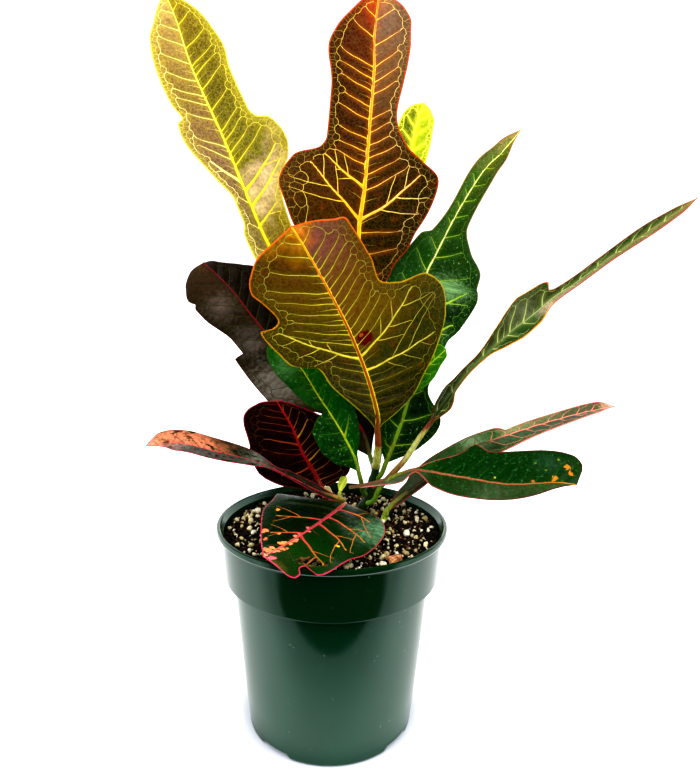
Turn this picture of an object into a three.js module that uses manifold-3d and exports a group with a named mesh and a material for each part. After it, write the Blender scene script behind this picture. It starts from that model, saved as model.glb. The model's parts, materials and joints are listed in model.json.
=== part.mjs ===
// Potted croton: a young croton with lobed, coloured leaves in a green plastic grow pot.
// Units are millimetres, +Z is up, and the origin is the middle of the pot's underside.
// The plant is seen from -Y, with +X to the right.

import * as THREE from 'three';
import { mergeVertices } from 'three/addons/utils/BufferGeometryUtils.js';
import Module from 'manifold-3d';

const wasm = await Module();
wasm.setup();

// Pot sizes
const POT_HEIGHT = 130;
const RIM_RADIUS = 70;
const RIM_DEPTH = 3.6;
const COLLAR_TOP_RADIUS = 67.3;
const COLLAR_FOOT_RADIUS = 65.1;
const COLLAR_FOOT_Z = 98;
const WALL_TOP_RADIUS = 59.8;
const WALL_TOP_Z = 92.9;
const FOOT_STEP_Z = 6.8;
const FOOT_RADIUS = 51.4;
const FOOT_STEP = 0.7;
const FOOT_CORNER = 1.6;
const WALL = 1.6;
const FLOOR = 2.2;
const WALL_STEP = 0.7;
const COLLAR_EDGE = 1.2;
const RIM_EDGE = 1;
const RIM_WIDTH = 2.2;
const FLOOR_CORNER = 1.5;
const POT_SEGMENTS = 48;

// Drain notches, cut up into the foot of the pot under small raised housings
const NOTCH_COUNT = 4;
const NOTCH_FIRST_ANGLE = -129;
const NOTCH_HEIGHT = 3.6;
const NOTCH_FOOT_WIDTH = 26;
const NOTCH_TOP_WIDTH = 17;
const NOTCH_INNER_RADIUS = 40;
const NOTCH_OUTER_RADIUS = 60;
const DRAIN_HOLE_RADIUS = 3.5;
const DRAIN_HOLE_PLACE = 45;
const CUT_PAST = 5;

// Soil sizes
const SOIL_LEVEL = 124.5;
const GAP = 0.3;
const SOIL_LUMP = 1.1;
const SOIL_WAVES = [
  { share: 0.5, alongX: 0.11, alongY: -0.05, shift: 0.6 },
  { share: 0.3, alongX: 0.31, alongY: -0.19, shift: 1.1 },
  { share: 0.2, alongX: 0.07, alongY: 0.37, shift: 1.6 },
];
const SOIL_RINGS = 7;
const GRAIN_COUNT = 56;
const GRAIN_SMALLEST = 1.3;
const GRAIN_LARGEST = 2.4;
const GRAIN_FIELD_RADIUS = 61;
const GRAIN_SEED = 20;
const GRAIN_RISE = 0.2;
const BARK_PLACE = [34, -48];
const BARK_SIZE = [9, 5.5, 5];

// Leaf blade sizes
const BLADE_THICKNESS = 0.8;
const RIB_WIDTH = 1.8;
const RIB_DEPTH = 1.1;
const RIB_THINNING = 0.75;
const TIP_WIDTH = 0.5;
const CLOSEST_ROWS = 2.6;
const WIDEST_ROWS = 8;
const WAVE_WIDTH = 30;
const WAVE_STEP = 17;
const STALK_RADIUS = 1.7;
const STALK_MIDDLE_RADIUS = 1.5;
const STALK_END_RADIUS = 0.7;
const STALK_REACH = 0.12;
const STALK_STEP = 8;
const SHORT_BLADE = 30;
const SHORT_BLADE_STALK = 0.6;
const TUBE_SIDES = 8;

// Stems: points on the middle line, and the radius at the foot and at the top
const STEMS = [
  {
    name: 'stem_main',
    color: 0x2f4a1e,
    path: [
      [13, 19, 88], [17, 21, 124], [22, 22, 134], [25, 24, 144], [28, 26, 156],
      [29.5, 29, 179], [26, 31, 205], [18, 32, 231], [11, 33, 251],
    ],
    radii: [2.7, 1.7],
  },
  {
    name: 'stem_left',
    color: 0x8a9a3c,
    path: [[1, 25, 95], [1.6, 24, 124], [3, 24, 131], [4, 24, 136]],
    radii: [2.1, 1.8],
  },
  {
    name: 'stem_right',
    color: 0x86a83a,
    path: [[31, 14, 95], [32.5, 12.5, 122], [33.5, 12, 129]],
    radii: [2.2, 2.0],
  },
];

// Leaves. midrib: points from the blade's base to its tip. faces: where the upper side looks, from base
// to tip. fold: how far each half is raised, in degrees. fan: the angle of the side veins to the midrib
// at the base, the middle and the tip, in degrees. left and right: how far the blade reaches along the
// side veins, as pairs of percent along the midrib and millimetres. stalk: points from the stem to the
// blade, with stalkJoinsAt where it meets the midrib past the base, as a part of the midrib's length.
// ripple: height of the waves in the margin, at WAVE_WIDTH from the midrib.
const LEAVES = [
  {
    name: 'leaf_yellow_top_left',
    color: 0x8f8420,
    stem: 'stem_main',
    stalk: [[12.6, 32.8, 246], [4, 35.5, 248.5], [-9, 39, 256]],
    midrib: [[-22, 42, 266], [-41, 45, 293], [-56, 50, 325], [-72, 58, 362], [-93, 70, 406], [-105, 80, 439],
      [-113, 86, 456]],
    faces: [[0.35, -1, 0.15], [0.2, -1, 0.1], [0.1, -1, 0.2]],
    fold: 4,
    ripple: 1.5,
    fan: [80, 60, 45],
    left: [[0, 1.5], [9, 13], [20, 12.5], [24, 9.5], [31, 9.5], [37, 16.5], [49, 28], [53, 27], [55, 22.5],
      [59, 26], [69, 27.5], [78, 26], [85, 20], [94, 10], [100, 0]],
    right: [[0, 1.5], [13, 18.5], [25, 22.5], [31, 31], [33, 38], [37, 41.5], [44, 36.5], [47, 29], [50, 26],
      [63, 27.5], [70, 30.5], [79, 26], [92, 12.5], [100, 0]],
  },
  {
    name: 'leaf_bronze_top',
    color: 0x4a2410,
    stem: 'stem_main',
    stalk: [[12, 32.8, 248], [12.5, 32.8, 254]],
    midrib: [[17, 32, 262], [14, 28, 300], [17, 27, 329], [20, 31, 371], [22, 37, 398], [22, 43, 419],
      [25, 52, 448]],
    faces: [[0, -1, 0.1], [-0.1, -1, 0.1], [0.1, -1, 0.3]],
    fold: 5,
    ripple: 1.2,
    fan: [80, 60, 45],
    left: [[0, 1.5], [4, 8.5], [10, 22], [15, 34.5], [17, 42], [26, 55], [34, 49], [41, 31], [44, 28.5],
      [58, 29.5], [69, 34], [75, 30], [85, 20], [93, 11], [100, 0]],
    right: [[0, 1.5], [3, 14.5], [9, 23.5], [12, 31], [19, 37], [30, 47.5], [37, 36.5], [43, 26.5],
      [54, 18.5], [63, 22], [74, 28], [81, 28], [87, 23], [94, 12], [100, 0]],
  },
  {
    name: 'leaf_olive_front',
    color: 0x5c5a16,
    stem: 'stem_main',
    stalk: [[28, 26, 156], [27.8, 20.5, 160], [28, 14, 173]],
    midrib: [[27, 8, 185], [26, 2, 197], [19, -8, 221], [8, -18, 248], [-5, -26, 273], [-16, -31, 292],
      [-23, -33, 303]],
    faces: [[0.05, -1, 0.3], [0, -1, 0.25]],
    fold: 4,
    ripple: 1.2,
    fan: [80, 60, 45],
    left: [[0, 1.5], [13, 11.5], [27, 23.5], [36, 28], [37, 40], [42, 45], [52, 50.5], [53, 44], [57, 37.5],
      [64, 42], [67, 45], [79, 36], [92, 14], [100, 0]],
    right: [[0, 1.5], [3, 3.5], [9, 23], [15, 34.5], [20, 47.5], [26, 60], [32, 64.5], [39, 59.5],
      [46, 41.5], [54, 31.5], [61, 34], [76, 34], [82, 26], [90, 15], [100, 0]],
  },
  {
    name: 'leaf_lime_back',
    color: 0x7f9a1c,
    stem: 'stem_main',
    stalk: [[13, 32.7, 244], [17, 38, 250], [25, 47, 261]],
    midrib: [[30, 52, 271], [36, 58, 301], [44, 66, 333], [50, 74, 362], [54, 80, 379], [59, 86, 393]],
    faces: [[-0.2, -1, 0.05], [-0.1, -1, 0.1]],
    fold: 4,
    ripple: 0.8,
    fan: [80, 60, 45],
    left: [[0, 1.5], [22, 12.5], [65, 16], [82, 14.5], [89, 11], [100, 0]],
    right: [[0, 1.5], [23, 7.5], [54, 12.5], [73, 15], [82, 14.5], [90, 10], [100, 0]],
  },
  {
    name: 'leaf_green_tall_right',
    color: 0x1d5a1c,
    stem: 'stem_main',
    stalk: [[26.5, 25, 147], [31, 23.5, 151]],
    midrib: [[34, 21, 160], [40, 19, 178], [45, 20, 194], [50, 23, 216], [53, 30, 245], [57, 40, 275],
      [65, 44, 293], [79, 50, 320], [95, 57, 345], [107, 62, 357], [119, 68, 371]],
    faces: [[0.1, -1, 0.15], [0.1, -1, 0.15], [0.25, -1, 0.3], [0.3, -1, 0.3]],
    fold: 6,
    ripple: 1.5,
    fan: [70, 60, 50],
    left: [[0, 1.5], [4, 10], [14, 15], [22, 10.5], [30, 10], [37, 16.5], [42, 28], [49, 22], [56, 18],
      [60, 11], [69, 7.5], [80, 9.5], [90, 8], [100, 0]],
    right: [[0, 1.5], [4, 16.5], [10, 25.5], [20, 11.5], [24, 16], [30, 21.5], [32, 29], [39, 40],
      [49, 37.5], [57, 23], [65, 12.5], [80, 10.5], [88, 7], [95, 2], [100, 0]],
  },
  {
    name: 'leaf_slim_far_right',
    color: 0x3f5a34,
    stem: 'stem_main',
    stalk: [[25, 24, 142], [30.5, 20, 144.5], [39, 17.6, 155], [46, 16.5, 164], [54, 15, 178]],
    midrib: [[60, 14, 188], [70, 12, 203], [81, 8, 221], [93, 4, 235], [105, 0, 248], [116, -4, 258],
      [125, -6, 267], [138, -9, 277], [155, -14, 292], [174, -20, 307], [192, -26, 322]],
    faces: [[-0.75, -0.45, 0.5], [-0.7, -0.55, 0.5], [-0.55, -0.45, 0.7], [-0.5, -0.4, 0.8]],
    fold: 0,
    ripple: 0,
    fan: [60, 55, 45],
    left: [[0, 1.5], [6, 9.5], [14, 6.5], [23, 5.5], [33, 13.5], [39, 23.5], [46, 21], [51, 17], [52, 9.5],
      [55, 7], [70, 7], [82, 9.5], [91, 6.5], [100, 0]],
    right: [[0, 1.5], [3, 5], [5, 7.5], [12, 2], [28, 3], [33, 8.5], [38, 12], [43, 11], [51, 5.5],
      [62, 4], [86, 6], [92, 5.5], [100, 0]],
  },
  {
    name: 'leaf_pink_low_right',
    color: 0x3d4a38,
    stem: 'stem_right',
    stalk: [[33.5, 12, 128]],
    midrib: [[35, 12, 132], [45, 14, 141], [56, 18, 148], [69, 25, 157], [92, 34, 167], [115, 41, 173],
      [140, 46, 180], [168, 50, 187], [193, 52, 192]],
    faces: [[-0.35, -0.7, 0.7], [-0.35, -0.6, 0.8], [-0.1, -0.5, 1], [-0.1, -0.5, 1], [-0.1, -0.5, 1]],
    fold: 0,
    ripple: 0,
    fan: [60, 55, 45],
    left: [[0, 1.5], [5, 5], [9, 7], [12, 11], [26, 11], [48, 12.5], [52, 9.5], [54, 6.5], [57, 7.5],
      [77, 9.5], [89, 11], [100, 0]],
    right: [[0, 1.5], [4, 4.5], [16, 5], [22, 9], [38, 16], [58, 12], [88, 5.5], [100, 0]],
  },
  {
    name: 'leaf_green_low_right',
    color: 0x1a4a1e,
    stem: 'stem_main',
    stalk: [[21.3, 22, 132], [26, 16, 136], [29.5, 11.5, 146]],
    stalkJoinsAt: 0.2,
    midrib: [[10, 13, 146], [20, 12, 148], [35, 10, 153], [48, 8, 159], [57, 4, 160], [78, -8, 160],
      [103, -17, 159], [128, -22, 162], [141, -23, 161]],
    faces: [[0, -0.8, 0.8], [0, -0.8, 0.8]],
    fold: 0,
    ripple: 0,
    fan: [70, 60, 60],
    left: [[0, 0.5], [12, 1], [30, 1.5], [36, 10], [43, 20], [45, 28], [54, 24], [64, 25.5], [91, 22.5],
      [96, 18], [99, 11], [100, 0]],
    right: [[0, 0.5], [12, 3], [22, 6], [31, 2], [38, 11.5], [49, 15], [75, 10], [100, 0]],
  },
  {
    name: 'leaf_dark_left',
    color: 0x2a1614,
    stem: 'stem_main',
    stalk: [[27.2, 25.7, 152.5], [26, 31, 155.5]],
    midrib: [[24, 35, 161], [19, 37, 177], [7, 40, 190], [-16, 43, 212], [-46, 46, 241], [-65, 51, 264],
      [-77, 55, 276], [-87, 59, 284]],
    faces: [[-0.1, -1, 0.3], [-0.1, -1, 0.3], [-0.2, -1, 0.5]],
    fold: 6,
    ripple: 1.5,
    fan: [90, 60, 50],
    left: [[0, 1.5], [5, 9.5], [15, 8.5], [23, 12], [37, 33.5], [54, 31], [56, 23.5], [61, 23.5], [70, 31],
      [76, 32], [79, 29.5], [80, 32], [88, 24.5], [95, 11], [100, 0]],
    right: [[0, 1.5], [5, 4.5], [11, 10], [29, 12.5], [34, 18], [41, 22.5], [66, 28.5], [73, 28],
      [82, 19.5], [91, 9], [100, 0]],
  },
  {
    name: 'leaf_maroon_low_left',
    color: 0x2c0d10,
    stem: 'stem_left',
    stalk: [[3.2, 24, 131.5], [-2, 27, 135]],
    midrib: [[-7, 28, 140], [-12, 28.5, 150], [-20, 29, 164], [-27, 30, 181], [-36, 32, 196], [-41, 33, 201]],
    faces: [[0.05, -0.9, 0.5], [-0.1, -0.9, 0.3]],
    fold: 8,
    ripple: 1,
    fan: [110, 60, 45],
    left: [[0, 1.5], [19, 18.5], [27, 26], [34, 32.5], [48, 32.5], [62, 31.5], [74, 28], [81, 20.5],
      [89, 11], [100, 0]],
    right: [[0, 1.5], [4, 12], [6, 17.5], [12, 23], [29, 29], [40, 29], [53, 21.5], [63, 16.5], [83, 8],
      [100, 0]],
  },
  {
    name: 'leaf_green_mid',
    color: 0x1e6620,
    stem: 'stem_main',
    stalk: [[23.3, 22.8, 137.5], [19.5, 20, 140.5], [18, 18.5, 148]],
    midrib: [[16, 17, 156], [13, 15, 166], [3, 10, 186], [-10, 6, 207], [-19, 4, 222], [-30, 3, 234],
      [-34, 3, 241]],
    faces: [[0.05, -1, 0.35], [0.05, -1, 0.35]],
    fold: 5,
    ripple: 1,
    fan: [80, 60, 45],
    left: [[0, 1.5], [9, 13], [14, 15.5], [19, 18], [33, 17.5], [37, 14], [42, 9], [46, 2.5], [48, 6.5],
      [52, 10.5], [74, 17], [84, 14], [92, 9], [100, 0]],
    right: [[0, 1.5], [3, 1.5], [8, 2], [20, 10.5], [36, 17], [53, 21], [73, 14], [85, 11], [100, 0]],
  },
  {
    name: 'leaf_orange_tip_left',
    color: 0x6e4a30,
    stem: 'stem_left',
    stalk: [[3.5, 24, 133.2]],
    midrib: [[6, 18, 136.5], [-10, 17, 142.5], [-31, 15, 154], [-49, 12, 163], [-73, 9, 170], [-93, 5, 176],
      [-113, 2, 175]],
    faces: [[-0.1, -0.55, 1], [-0.1, -0.5, 1]],
    fold: 0,
    ripple: 0,
    fan: [60, 55, 45],
    left: [[0, 1.5], [4, 4], [20, 2.5], [34, 1.5], [40, 2], [46, 5.5], [60, 8.5], [80, 9.5], [89, 4.5],
      [95, 1.5], [100, 0]],
    right: [[0, 1.5], [5, 2.5], [12, 5.5], [28, 5], [34, 3], [47, 11], [65, 15], [81, 16.5], [86, 15],
      [94, 7], [100, 0]],
  },
  {
    name: 'leaf_low_front',
    color: 0x24401f,
    stem: 'stem_left',
    stalk: [[2.2, 24, 128.6], [6, 18, 130.4]],
    midrib: [[8, 11, 136], [1, -4, 136], [-14, -30, 135], [-26, -50, 135], [-35, -68, 137]],
    faces: [[-0.05, -0.25, 1], [-0.05, -0.25, 1]],
    fold: 0,
    ripple: 0,
    fan: [95, 60, 45],
    left: [[0, 1.5], [5, 12], [8, 20], [11, 29], [24, 40], [39, 43], [46, 40.5], [68, 43.5], [75, 41],
      [77, 28], [81, 28], [84, 34], [88, 34.5], [92, 28.5], [94, 18.5], [100, 0]],
    right: [[0, 1.5], [5, 24.5], [7, 37], [10, 43.5], [20, 40.5], [30, 38.5], [39, 34], [65, 19], [100, 0]],
  },
  {
    name: 'leaf_small_right',
    color: 0x3f8a20,
    stem: 'stem_main',
    stalk: [[29, 29.3, 183], [28, 21, 189], [28.5, 15, 196]],
    midrib: [[33, 13, 201], [45, 10, 213], [57, 8, 225], [67, 7, 235]],
    faces: [[-0.1, -1, 0.2], [-0.1, -1, 0.2]],
    fold: 4,
    ripple: 0.5,
    fan: [80, 60, 45],
    left: [[0, 1.5], [15, 6.5], [55, 11], [75, 9.5], [90, 6.5], [100, 0]],
    right: [[0, 1.5], [50, 9.5], [77, 6], [87, 5], [100, 0]],
  },
  {
    name: 'bud_left',
    color: 0xa8b83a,
    stem: 'stem_left',
    stalk: [[4.3, 24.1, 136.9]],
    midrib: [[4.8, 24.3, 139.5], [6, 25, 143], [9, 25, 149]],
    faces: [[0, -1, 0.2], [0, -1, 0.2]],
    fold: 10,
    ripple: 0,
    fan: [70, 60, 45],
    left: [[0, 1.2], [25, 3.5], [55, 4], [100, 0]],
    right: [[0, 1.2], [40, 2.5], [70, 2], [100, 0]],
  },
  {
    name: 'bract_left',
    color: 0xb8a878,
    stem: 'stem_left',
    stalk: [],
    midrib: [[1, 21.8, 132], [-1.8, 21.6, 137.5], [-5, 21.5, 143.5]],
    faces: [[0, -1, 0.3], [0, -1, 0.3]],
    fold: 8,
    ripple: 0,
    fan: [70, 60, 45],
    left: [[0, 1], [30, 2.5], [75, 2], [100, 0]],
    right: [[0, 1], [30, 2], [70, 3], [100, 0]],
  },
];

// Small helpers

const vector = (point) => new THREE.Vector3(...point);
const radians = THREE.MathUtils.degToRad;

function material(color, roughness = 0.45) {
  return new THREE.MeshStandardMaterial({ color, roughness, metalness: 0 });
}

function namedMesh(name, geometry, look) {
  const mesh = new THREE.Mesh(geometry, look);
  mesh.name = name;
  return mesh;
}

// A repeatable random draw between 0 and 1
function randomSource(seed) {
  let state = seed;
  return () => {
    state = (state * 1664525 + 1013904223) % 4294967296;
    return state / 4294967296;
  };
}

// Closed geometry to solid: shared vertices are merged and collapsed triangles dropped
function toSolid(geometry) {
  geometry.deleteAttribute('normal');
  geometry.deleteAttribute('uv');
  const merged = mergeVertices(geometry, 1e-4);
  const index = merged.index.array;
  const kept = [];
  for (let i = 0; i < index.length; i += 3) {
    const [a, b, c] = index.slice(i, i + 3);
    if (a !== b && b !== c && c !== a) kept.push(a, b, c);
  }
  return new wasm.Manifold(new wasm.Mesh({
    numProp: 3,
    vertProperties: new Float32Array(merged.attributes.position.array),
    triVerts: new Uint32Array(kept),
  }));
}

function toGeometry(solid) {
  const mesh = solid.getMesh();
  const geometry = new THREE.BufferGeometry();
  const positions = new Float32Array(mesh.numVert * 3);
  for (let i = 0; i < mesh.numVert; i += 1) {
    for (let axis = 0; axis < 3; axis += 1) {
      positions[i * 3 + axis] = mesh.vertProperties[i * mesh.numProp + axis];
    }
  }
  geometry.setAttribute('position', new THREE.BufferAttribute(positions, 3));
  geometry.setIndex(new THREE.BufferAttribute(new Uint32Array(mesh.triVerts), 1));
  geometry.computeVertexNormals();
  return geometry;
}

function indexedGeometry(points, triangles) {
  const geometry = new THREE.BufferGeometry().setFromPoints(points);
  geometry.setIndex(triangles);
  return geometry;
}

// A smooth curve through pairs of place and value that never overshoots them
function smoothValue(pairs, place) {
  const last = pairs.length - 1;
  const slopes = pairs.map(() => 0);
  const step = (i) => pairs[i + 1][0] - pairs[i][0];
  const rise = (i) => (pairs[i + 1][1] - pairs[i][1]) / step(i);
  for (let i = 1; i < last; i += 1) {
    if (rise(i - 1) * rise(i) > 0) {
      const before = 2 * step(i) + step(i - 1);
      const after = step(i) + 2 * step(i - 1);
      slopes[i] = (before + after) / (before / rise(i - 1) + after / rise(i));
    }
  }
  slopes[0] = rise(0);
  slopes[last] = rise(last - 1);
  let i = 0;
  while (i < last - 1 && place >= pairs[i + 1][0]) i += 1;
  const h = step(i);
  const s = (place - pairs[i][0]) / h;
  return (2 * s ** 3 - 3 * s ** 2 + 1) * pairs[i][1]
    + (s ** 3 - 2 * s ** 2 + s) * h * slopes[i]
    + (3 * s ** 2 - 2 * s ** 3) * pairs[i + 1][1]
    + (s ** 3 - s ** 2) * h * slopes[i + 1];
}

// A solid rod along a smooth path, thinning from the first radius to the last
function taperedRod(path, radii, sides, steps) {
  const curve = new THREE.CatmullRomCurve3(path, false, 'catmullrom', 0.5);
  const { normals, binormals } = curve.computeFrenetFrames(steps, false);
  const points = [];
  const triangles = [];
  for (let ring = 0; ring <= steps; ring += 1) {
    const along = ring / steps;
    const middle = curve.getPointAt(along);
    const radius = smoothValue(radii, along);
    for (let side = 0; side < sides; side += 1) {
      const turn = (2 * Math.PI * side) / sides;
      points.push(middle.clone()
        .addScaledVector(normals[ring], radius * Math.cos(turn))
        .addScaledVector(binormals[ring], radius * Math.sin(turn)));
    }
  }
  for (let ring = 0; ring < steps; ring += 1) {
    for (let side = 0; side < sides; side += 1) {
      const next = (side + 1) % sides;
      const a = ring * sides + side;
      const b = ring * sides + next;
      triangles.push(a, b, b + sides, a, b + sides, a + sides);
    }
  }
  const foot = points.push(curve.getPointAt(0)) - 1;
  const top = points.push(curve.getPointAt(1)) - 1;
  for (let side = 0; side < sides; side += 1) {
    const next = (side + 1) % sides;
    triangles.push(foot, next, side, top, steps * sides + side, steps * sides + next);
  }
  return indexedGeometry(points, triangles);
}

// A stem, grown by a margin on its side and at both ends
function stemSolid(stem, margin) {
  const path = stem.path.map(vector);
  const lengthen = (end, next) => end.addScaledVector(end.clone().sub(next).normalize(), margin);
  lengthen(path[0], path[1]);
  lengthen(path.at(-1), path.at(-2));
  const radii = [[0, stem.radii[0] + margin], [1, stem.radii[1] + margin]];
  return toSolid(taperedRod(path, radii, TUBE_SIDES + 2, path.length * 2));
}

// The leaf's surface: a midrib in space with two halves that stand out from it

function leafSurface(leaf) {
  const curve = new THREE.CatmullRomCurve3(leaf.midrib.map(vector), false, 'catmullrom', 0.5);
  const length = curve.getLength();
  const faces = leaf.faces.map((face) => vector(face).normalize());
  const fold = radians(leaf.fold);

  function frameAt(along) {
    const inside = THREE.MathUtils.clamp(along, 0, length);
    const tangent = curve.getTangentAt(inside / length);
    const place = (inside / length) * (faces.length - 1);
    const first = Math.min(Math.floor(place), faces.length - 2);
    const face = faces[first].clone().lerp(faces[first + 1], THREE.MathUtils.smoothstep(place - first, 0, 1));
    const up = face.addScaledVector(tangent, -face.dot(tangent)).normalize();
    const across = tangent.clone().cross(up);
    const middle = curve.getPointAt(inside / length).addScaledVector(tangent, along - inside);
    return { middle, up, across };
  }

  // along and out are distances in the leaf, side is -1 for its left half and 1 for its right half
  function pointAt(along, out, side, lift = 0) {
    const { middle, up, across } = frameAt(along);
    const wave = leaf.ripple * (out / WAVE_WIDTH) ** 2 * Math.sin(along / WAVE_STEP + side);
    const point = middle.addScaledVector(across, side * out * Math.cos(fold));
    point.addScaledVector(up, out * Math.sin(fold) + wave + lift * Math.cos(fold));
    return point.addScaledVector(across, -side * lift * Math.sin(fold));
  }

  function veinAngle(percent) {
    const [base, middle, tip] = leaf.fan;
    return radians(percent < 50
      ? THREE.MathUtils.lerp(base, middle, percent / 50)
      : THREE.MathUtils.lerp(middle, tip, (percent - 50) / 50));
  }

  function alongVein(percent, reach, side, lift) {
    const angle = veinAngle(percent);
    const start = (percent / 100) * length;
    return pointAt(start + reach * Math.cos(angle), reach * Math.sin(angle), side, lift);
  }

  return { length, pointAt, alongVein };
}

// Rows across the leaf at every point that shapes its outline, with more where they lie far apart
function leafRows(leaf) {
  const marks = [...leaf.left, ...leaf.right].map(([percent]) => percent).sort((a, b) => a - b);
  const rows = [0];
  for (const mark of marks) {
    if (mark - rows.at(-1) < CLOSEST_ROWS || 100 - mark < CLOSEST_ROWS) continue;
    const extra = Math.floor((mark - rows.at(-1)) / WIDEST_ROWS);
    const step = (mark - rows.at(-1)) / (extra + 1);
    for (let i = 0; i < extra; i += 1) rows.push(rows.at(-1) + step);
    rows.push(mark);
  }
  rows.push(100);
  return rows;
}

function bladeGeometry(leaf, surface) {
  const points = [];
  const triangles = [];
  const rows = leafRows(leaf);
  const half = BLADE_THICKNESS / 2;
  for (const percent of rows) {
    const rib = RIB_DEPTH * (1 - RIB_THINNING * (percent / 100));
    const outline = (pairs) => Math.max(smoothValue(pairs, percent), TIP_WIDTH);
    const left = outline(leaf.left);
    const right = outline(leaf.right);
    const stops = [
      [left, -1], [Math.min(RIB_WIDTH, left * 0.5), -1], [0, 1],
      [Math.min(RIB_WIDTH, right * 0.5), 1], [right, 1],
    ];
    stops.forEach(([reach, side]) => points.push(surface.alongVein(percent, reach, side, half)));
    stops.forEach(([reach, side], column) => {
      points.push(surface.alongVein(percent, reach, side, column === 2 ? -half - rib : -half));
    });
  }
  const columns = 5;
  const perRow = 2 * columns;
  const quad = (a, b, c, d) => triangles.push(a, b, c, a, c, d);
  for (let row = 0; row < rows.length - 1; row += 1) {
    const near = row * perRow;
    const far = near + perRow;
    for (let column = 0; column < columns - 1; column += 1) {
      quad(near + column, near + column + 1, far + column + 1, far + column);
      const [a, b] = [near + columns + column, near + columns + column + 1];
      const [c, d] = [far + columns + column + 1, far + columns + column];
      triangles.push(a, c, b, a, d, c);
    }
    const edge = columns - 1;
    quad(near, far, far + columns, near + columns);
    quad(near + edge, near + edge + columns, far + edge + columns, far + edge);
  }
  const end = (rows.length - 1) * perRow;
  for (let column = 0; column < columns - 1; column += 1) {
    quad(column, column + columns, column + columns + 1, column + 1);
    quad(end + column, end + column + 1, end + column + columns + 1, end + column + columns);
  }
  return indexedGeometry(points, triangles);
}

// A leaf with its stalk, cut clear of the stem that it grows from
function leafSolid(leaf, stems) {
  const surface = leafSurface(leaf);
  const blade = toSolid(bladeGeometry(leaf, surface));
  const stem = stems[leaf.stem];
  if (leaf.stalk.length === 0) return blade.subtract(stem);
  const joint = leaf.stalkJoinsAt ?? 0;
  const onBlade = [joint, joint + STALK_REACH / 2, joint + STALK_REACH];
  const path = [
    ...leaf.stalk.map(vector),
    ...onBlade.map((part) => surface.pointAt(part * surface.length, 0, 1, -BLADE_THICKNESS / 2)),
  ];
  const scale = surface.length < SHORT_BLADE ? SHORT_BLADE_STALK : 1;
  const radii = [[0, STALK_RADIUS], [0.5, STALK_MIDDLE_RADIUS], [1, STALK_END_RADIUS]]
    .map(([place, radius]) => [place, radius * scale]);
  const steps = Math.max(5, Math.round(new THREE.CatmullRomCurve3(path).getLength() / STALK_STEP));
  return blade.add(toSolid(taperedRod(path, radii, TUBE_SIDES, steps))).subtract(stem);
}

// Pot

function lathe(profile, segments) {
  const points = profile.map(([radius, z]) => new THREE.Vector2(radius, z));
  return new THREE.LatheGeometry(points, segments).rotateX(Math.PI / 2);
}

// The pot's outside, from the middle of the underside up to the top of the rim
const POT_OUTSIDE = [
  [0, 0],
  [FOOT_RADIUS - FOOT_CORNER, 0],
  [FOOT_RADIUS, FOOT_CORNER],
  [FOOT_RADIUS, FOOT_STEP_Z],
  [FOOT_RADIUS + FOOT_STEP, FOOT_STEP_Z + FOOT_STEP],
  [WALL_TOP_RADIUS, WALL_TOP_Z - WALL_STEP],
  [WALL_TOP_RADIUS + WALL_STEP, WALL_TOP_Z],
  [COLLAR_FOOT_RADIUS - COLLAR_EDGE, COLLAR_FOOT_Z - COLLAR_EDGE],
  [COLLAR_FOOT_RADIUS, COLLAR_FOOT_Z + COLLAR_EDGE],
  [COLLAR_TOP_RADIUS, POT_HEIGHT - RIM_DEPTH - RIM_EDGE],
  [RIM_RADIUS - RIM_EDGE, POT_HEIGHT - RIM_DEPTH],
  [RIM_RADIUS, POT_HEIGHT - RIM_DEPTH + RIM_EDGE],
  [RIM_RADIUS, POT_HEIGHT - RIM_EDGE],
  [RIM_RADIUS - RIM_EDGE, POT_HEIGHT],
];

// The pot's inside, from the rim down to the middle of the floor
const POT_INSIDE = [
  [RIM_RADIUS - RIM_WIDTH, POT_HEIGHT],
  [COLLAR_TOP_RADIUS - WALL, POT_HEIGHT - RIM_DEPTH],
  [COLLAR_FOOT_RADIUS - WALL, COLLAR_FOOT_Z + COLLAR_EDGE],
  [WALL_TOP_RADIUS - WALL, WALL_TOP_Z + WALL_STEP],
  [FOOT_RADIUS + FOOT_STEP - WALL, FOOT_STEP_Z],
  [FOOT_RADIUS - WALL - FLOOR_CORNER, FLOOR],
  [0, FLOOR],
];

// A wedge-sided block that lies along one spoke of the pot's foot, grown on all sides by a margin
function notchBlock(angle, margin) {
  const foot = NOTCH_FOOT_WIDTH / 2 + margin;
  const top = NOTCH_TOP_WIDTH / 2 + margin;
  const section = new THREE.Shape([
    new THREE.Vector2(-foot, -CUT_PAST),
    new THREE.Vector2(foot, -CUT_PAST),
    new THREE.Vector2(foot, 0),
    new THREE.Vector2(top, NOTCH_HEIGHT + margin),
    new THREE.Vector2(-top, NOTCH_HEIGHT + margin),
    new THREE.Vector2(-foot, 0),
  ]);
  const depth = NOTCH_OUTER_RADIUS - NOTCH_INNER_RADIUS + margin;
  const block = new THREE.ExtrudeGeometry(section, { depth, bevelEnabled: false });
  block.rotateX(Math.PI / 2).translate(0, NOTCH_OUTER_RADIUS, 0);
  return toSolid(block.rotateZ(radians(angle - 90)));
}

const notchAngles = Array.from({ length: NOTCH_COUNT }, (_, i) => NOTCH_FIRST_ANGLE + (360 / NOTCH_COUNT) * i);

function drainHole(angle) {
  const hole = new THREE.CylinderGeometry(DRAIN_HOLE_RADIUS, DRAIN_HOLE_RADIUS, 2 * CUT_PAST, TUBE_SIDES + 4);
  hole.rotateX(Math.PI / 2).translate(DRAIN_HOLE_PLACE, 0, NOTCH_HEIGHT);
  return toSolid(hole.rotateZ(radians(angle)));
}

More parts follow.
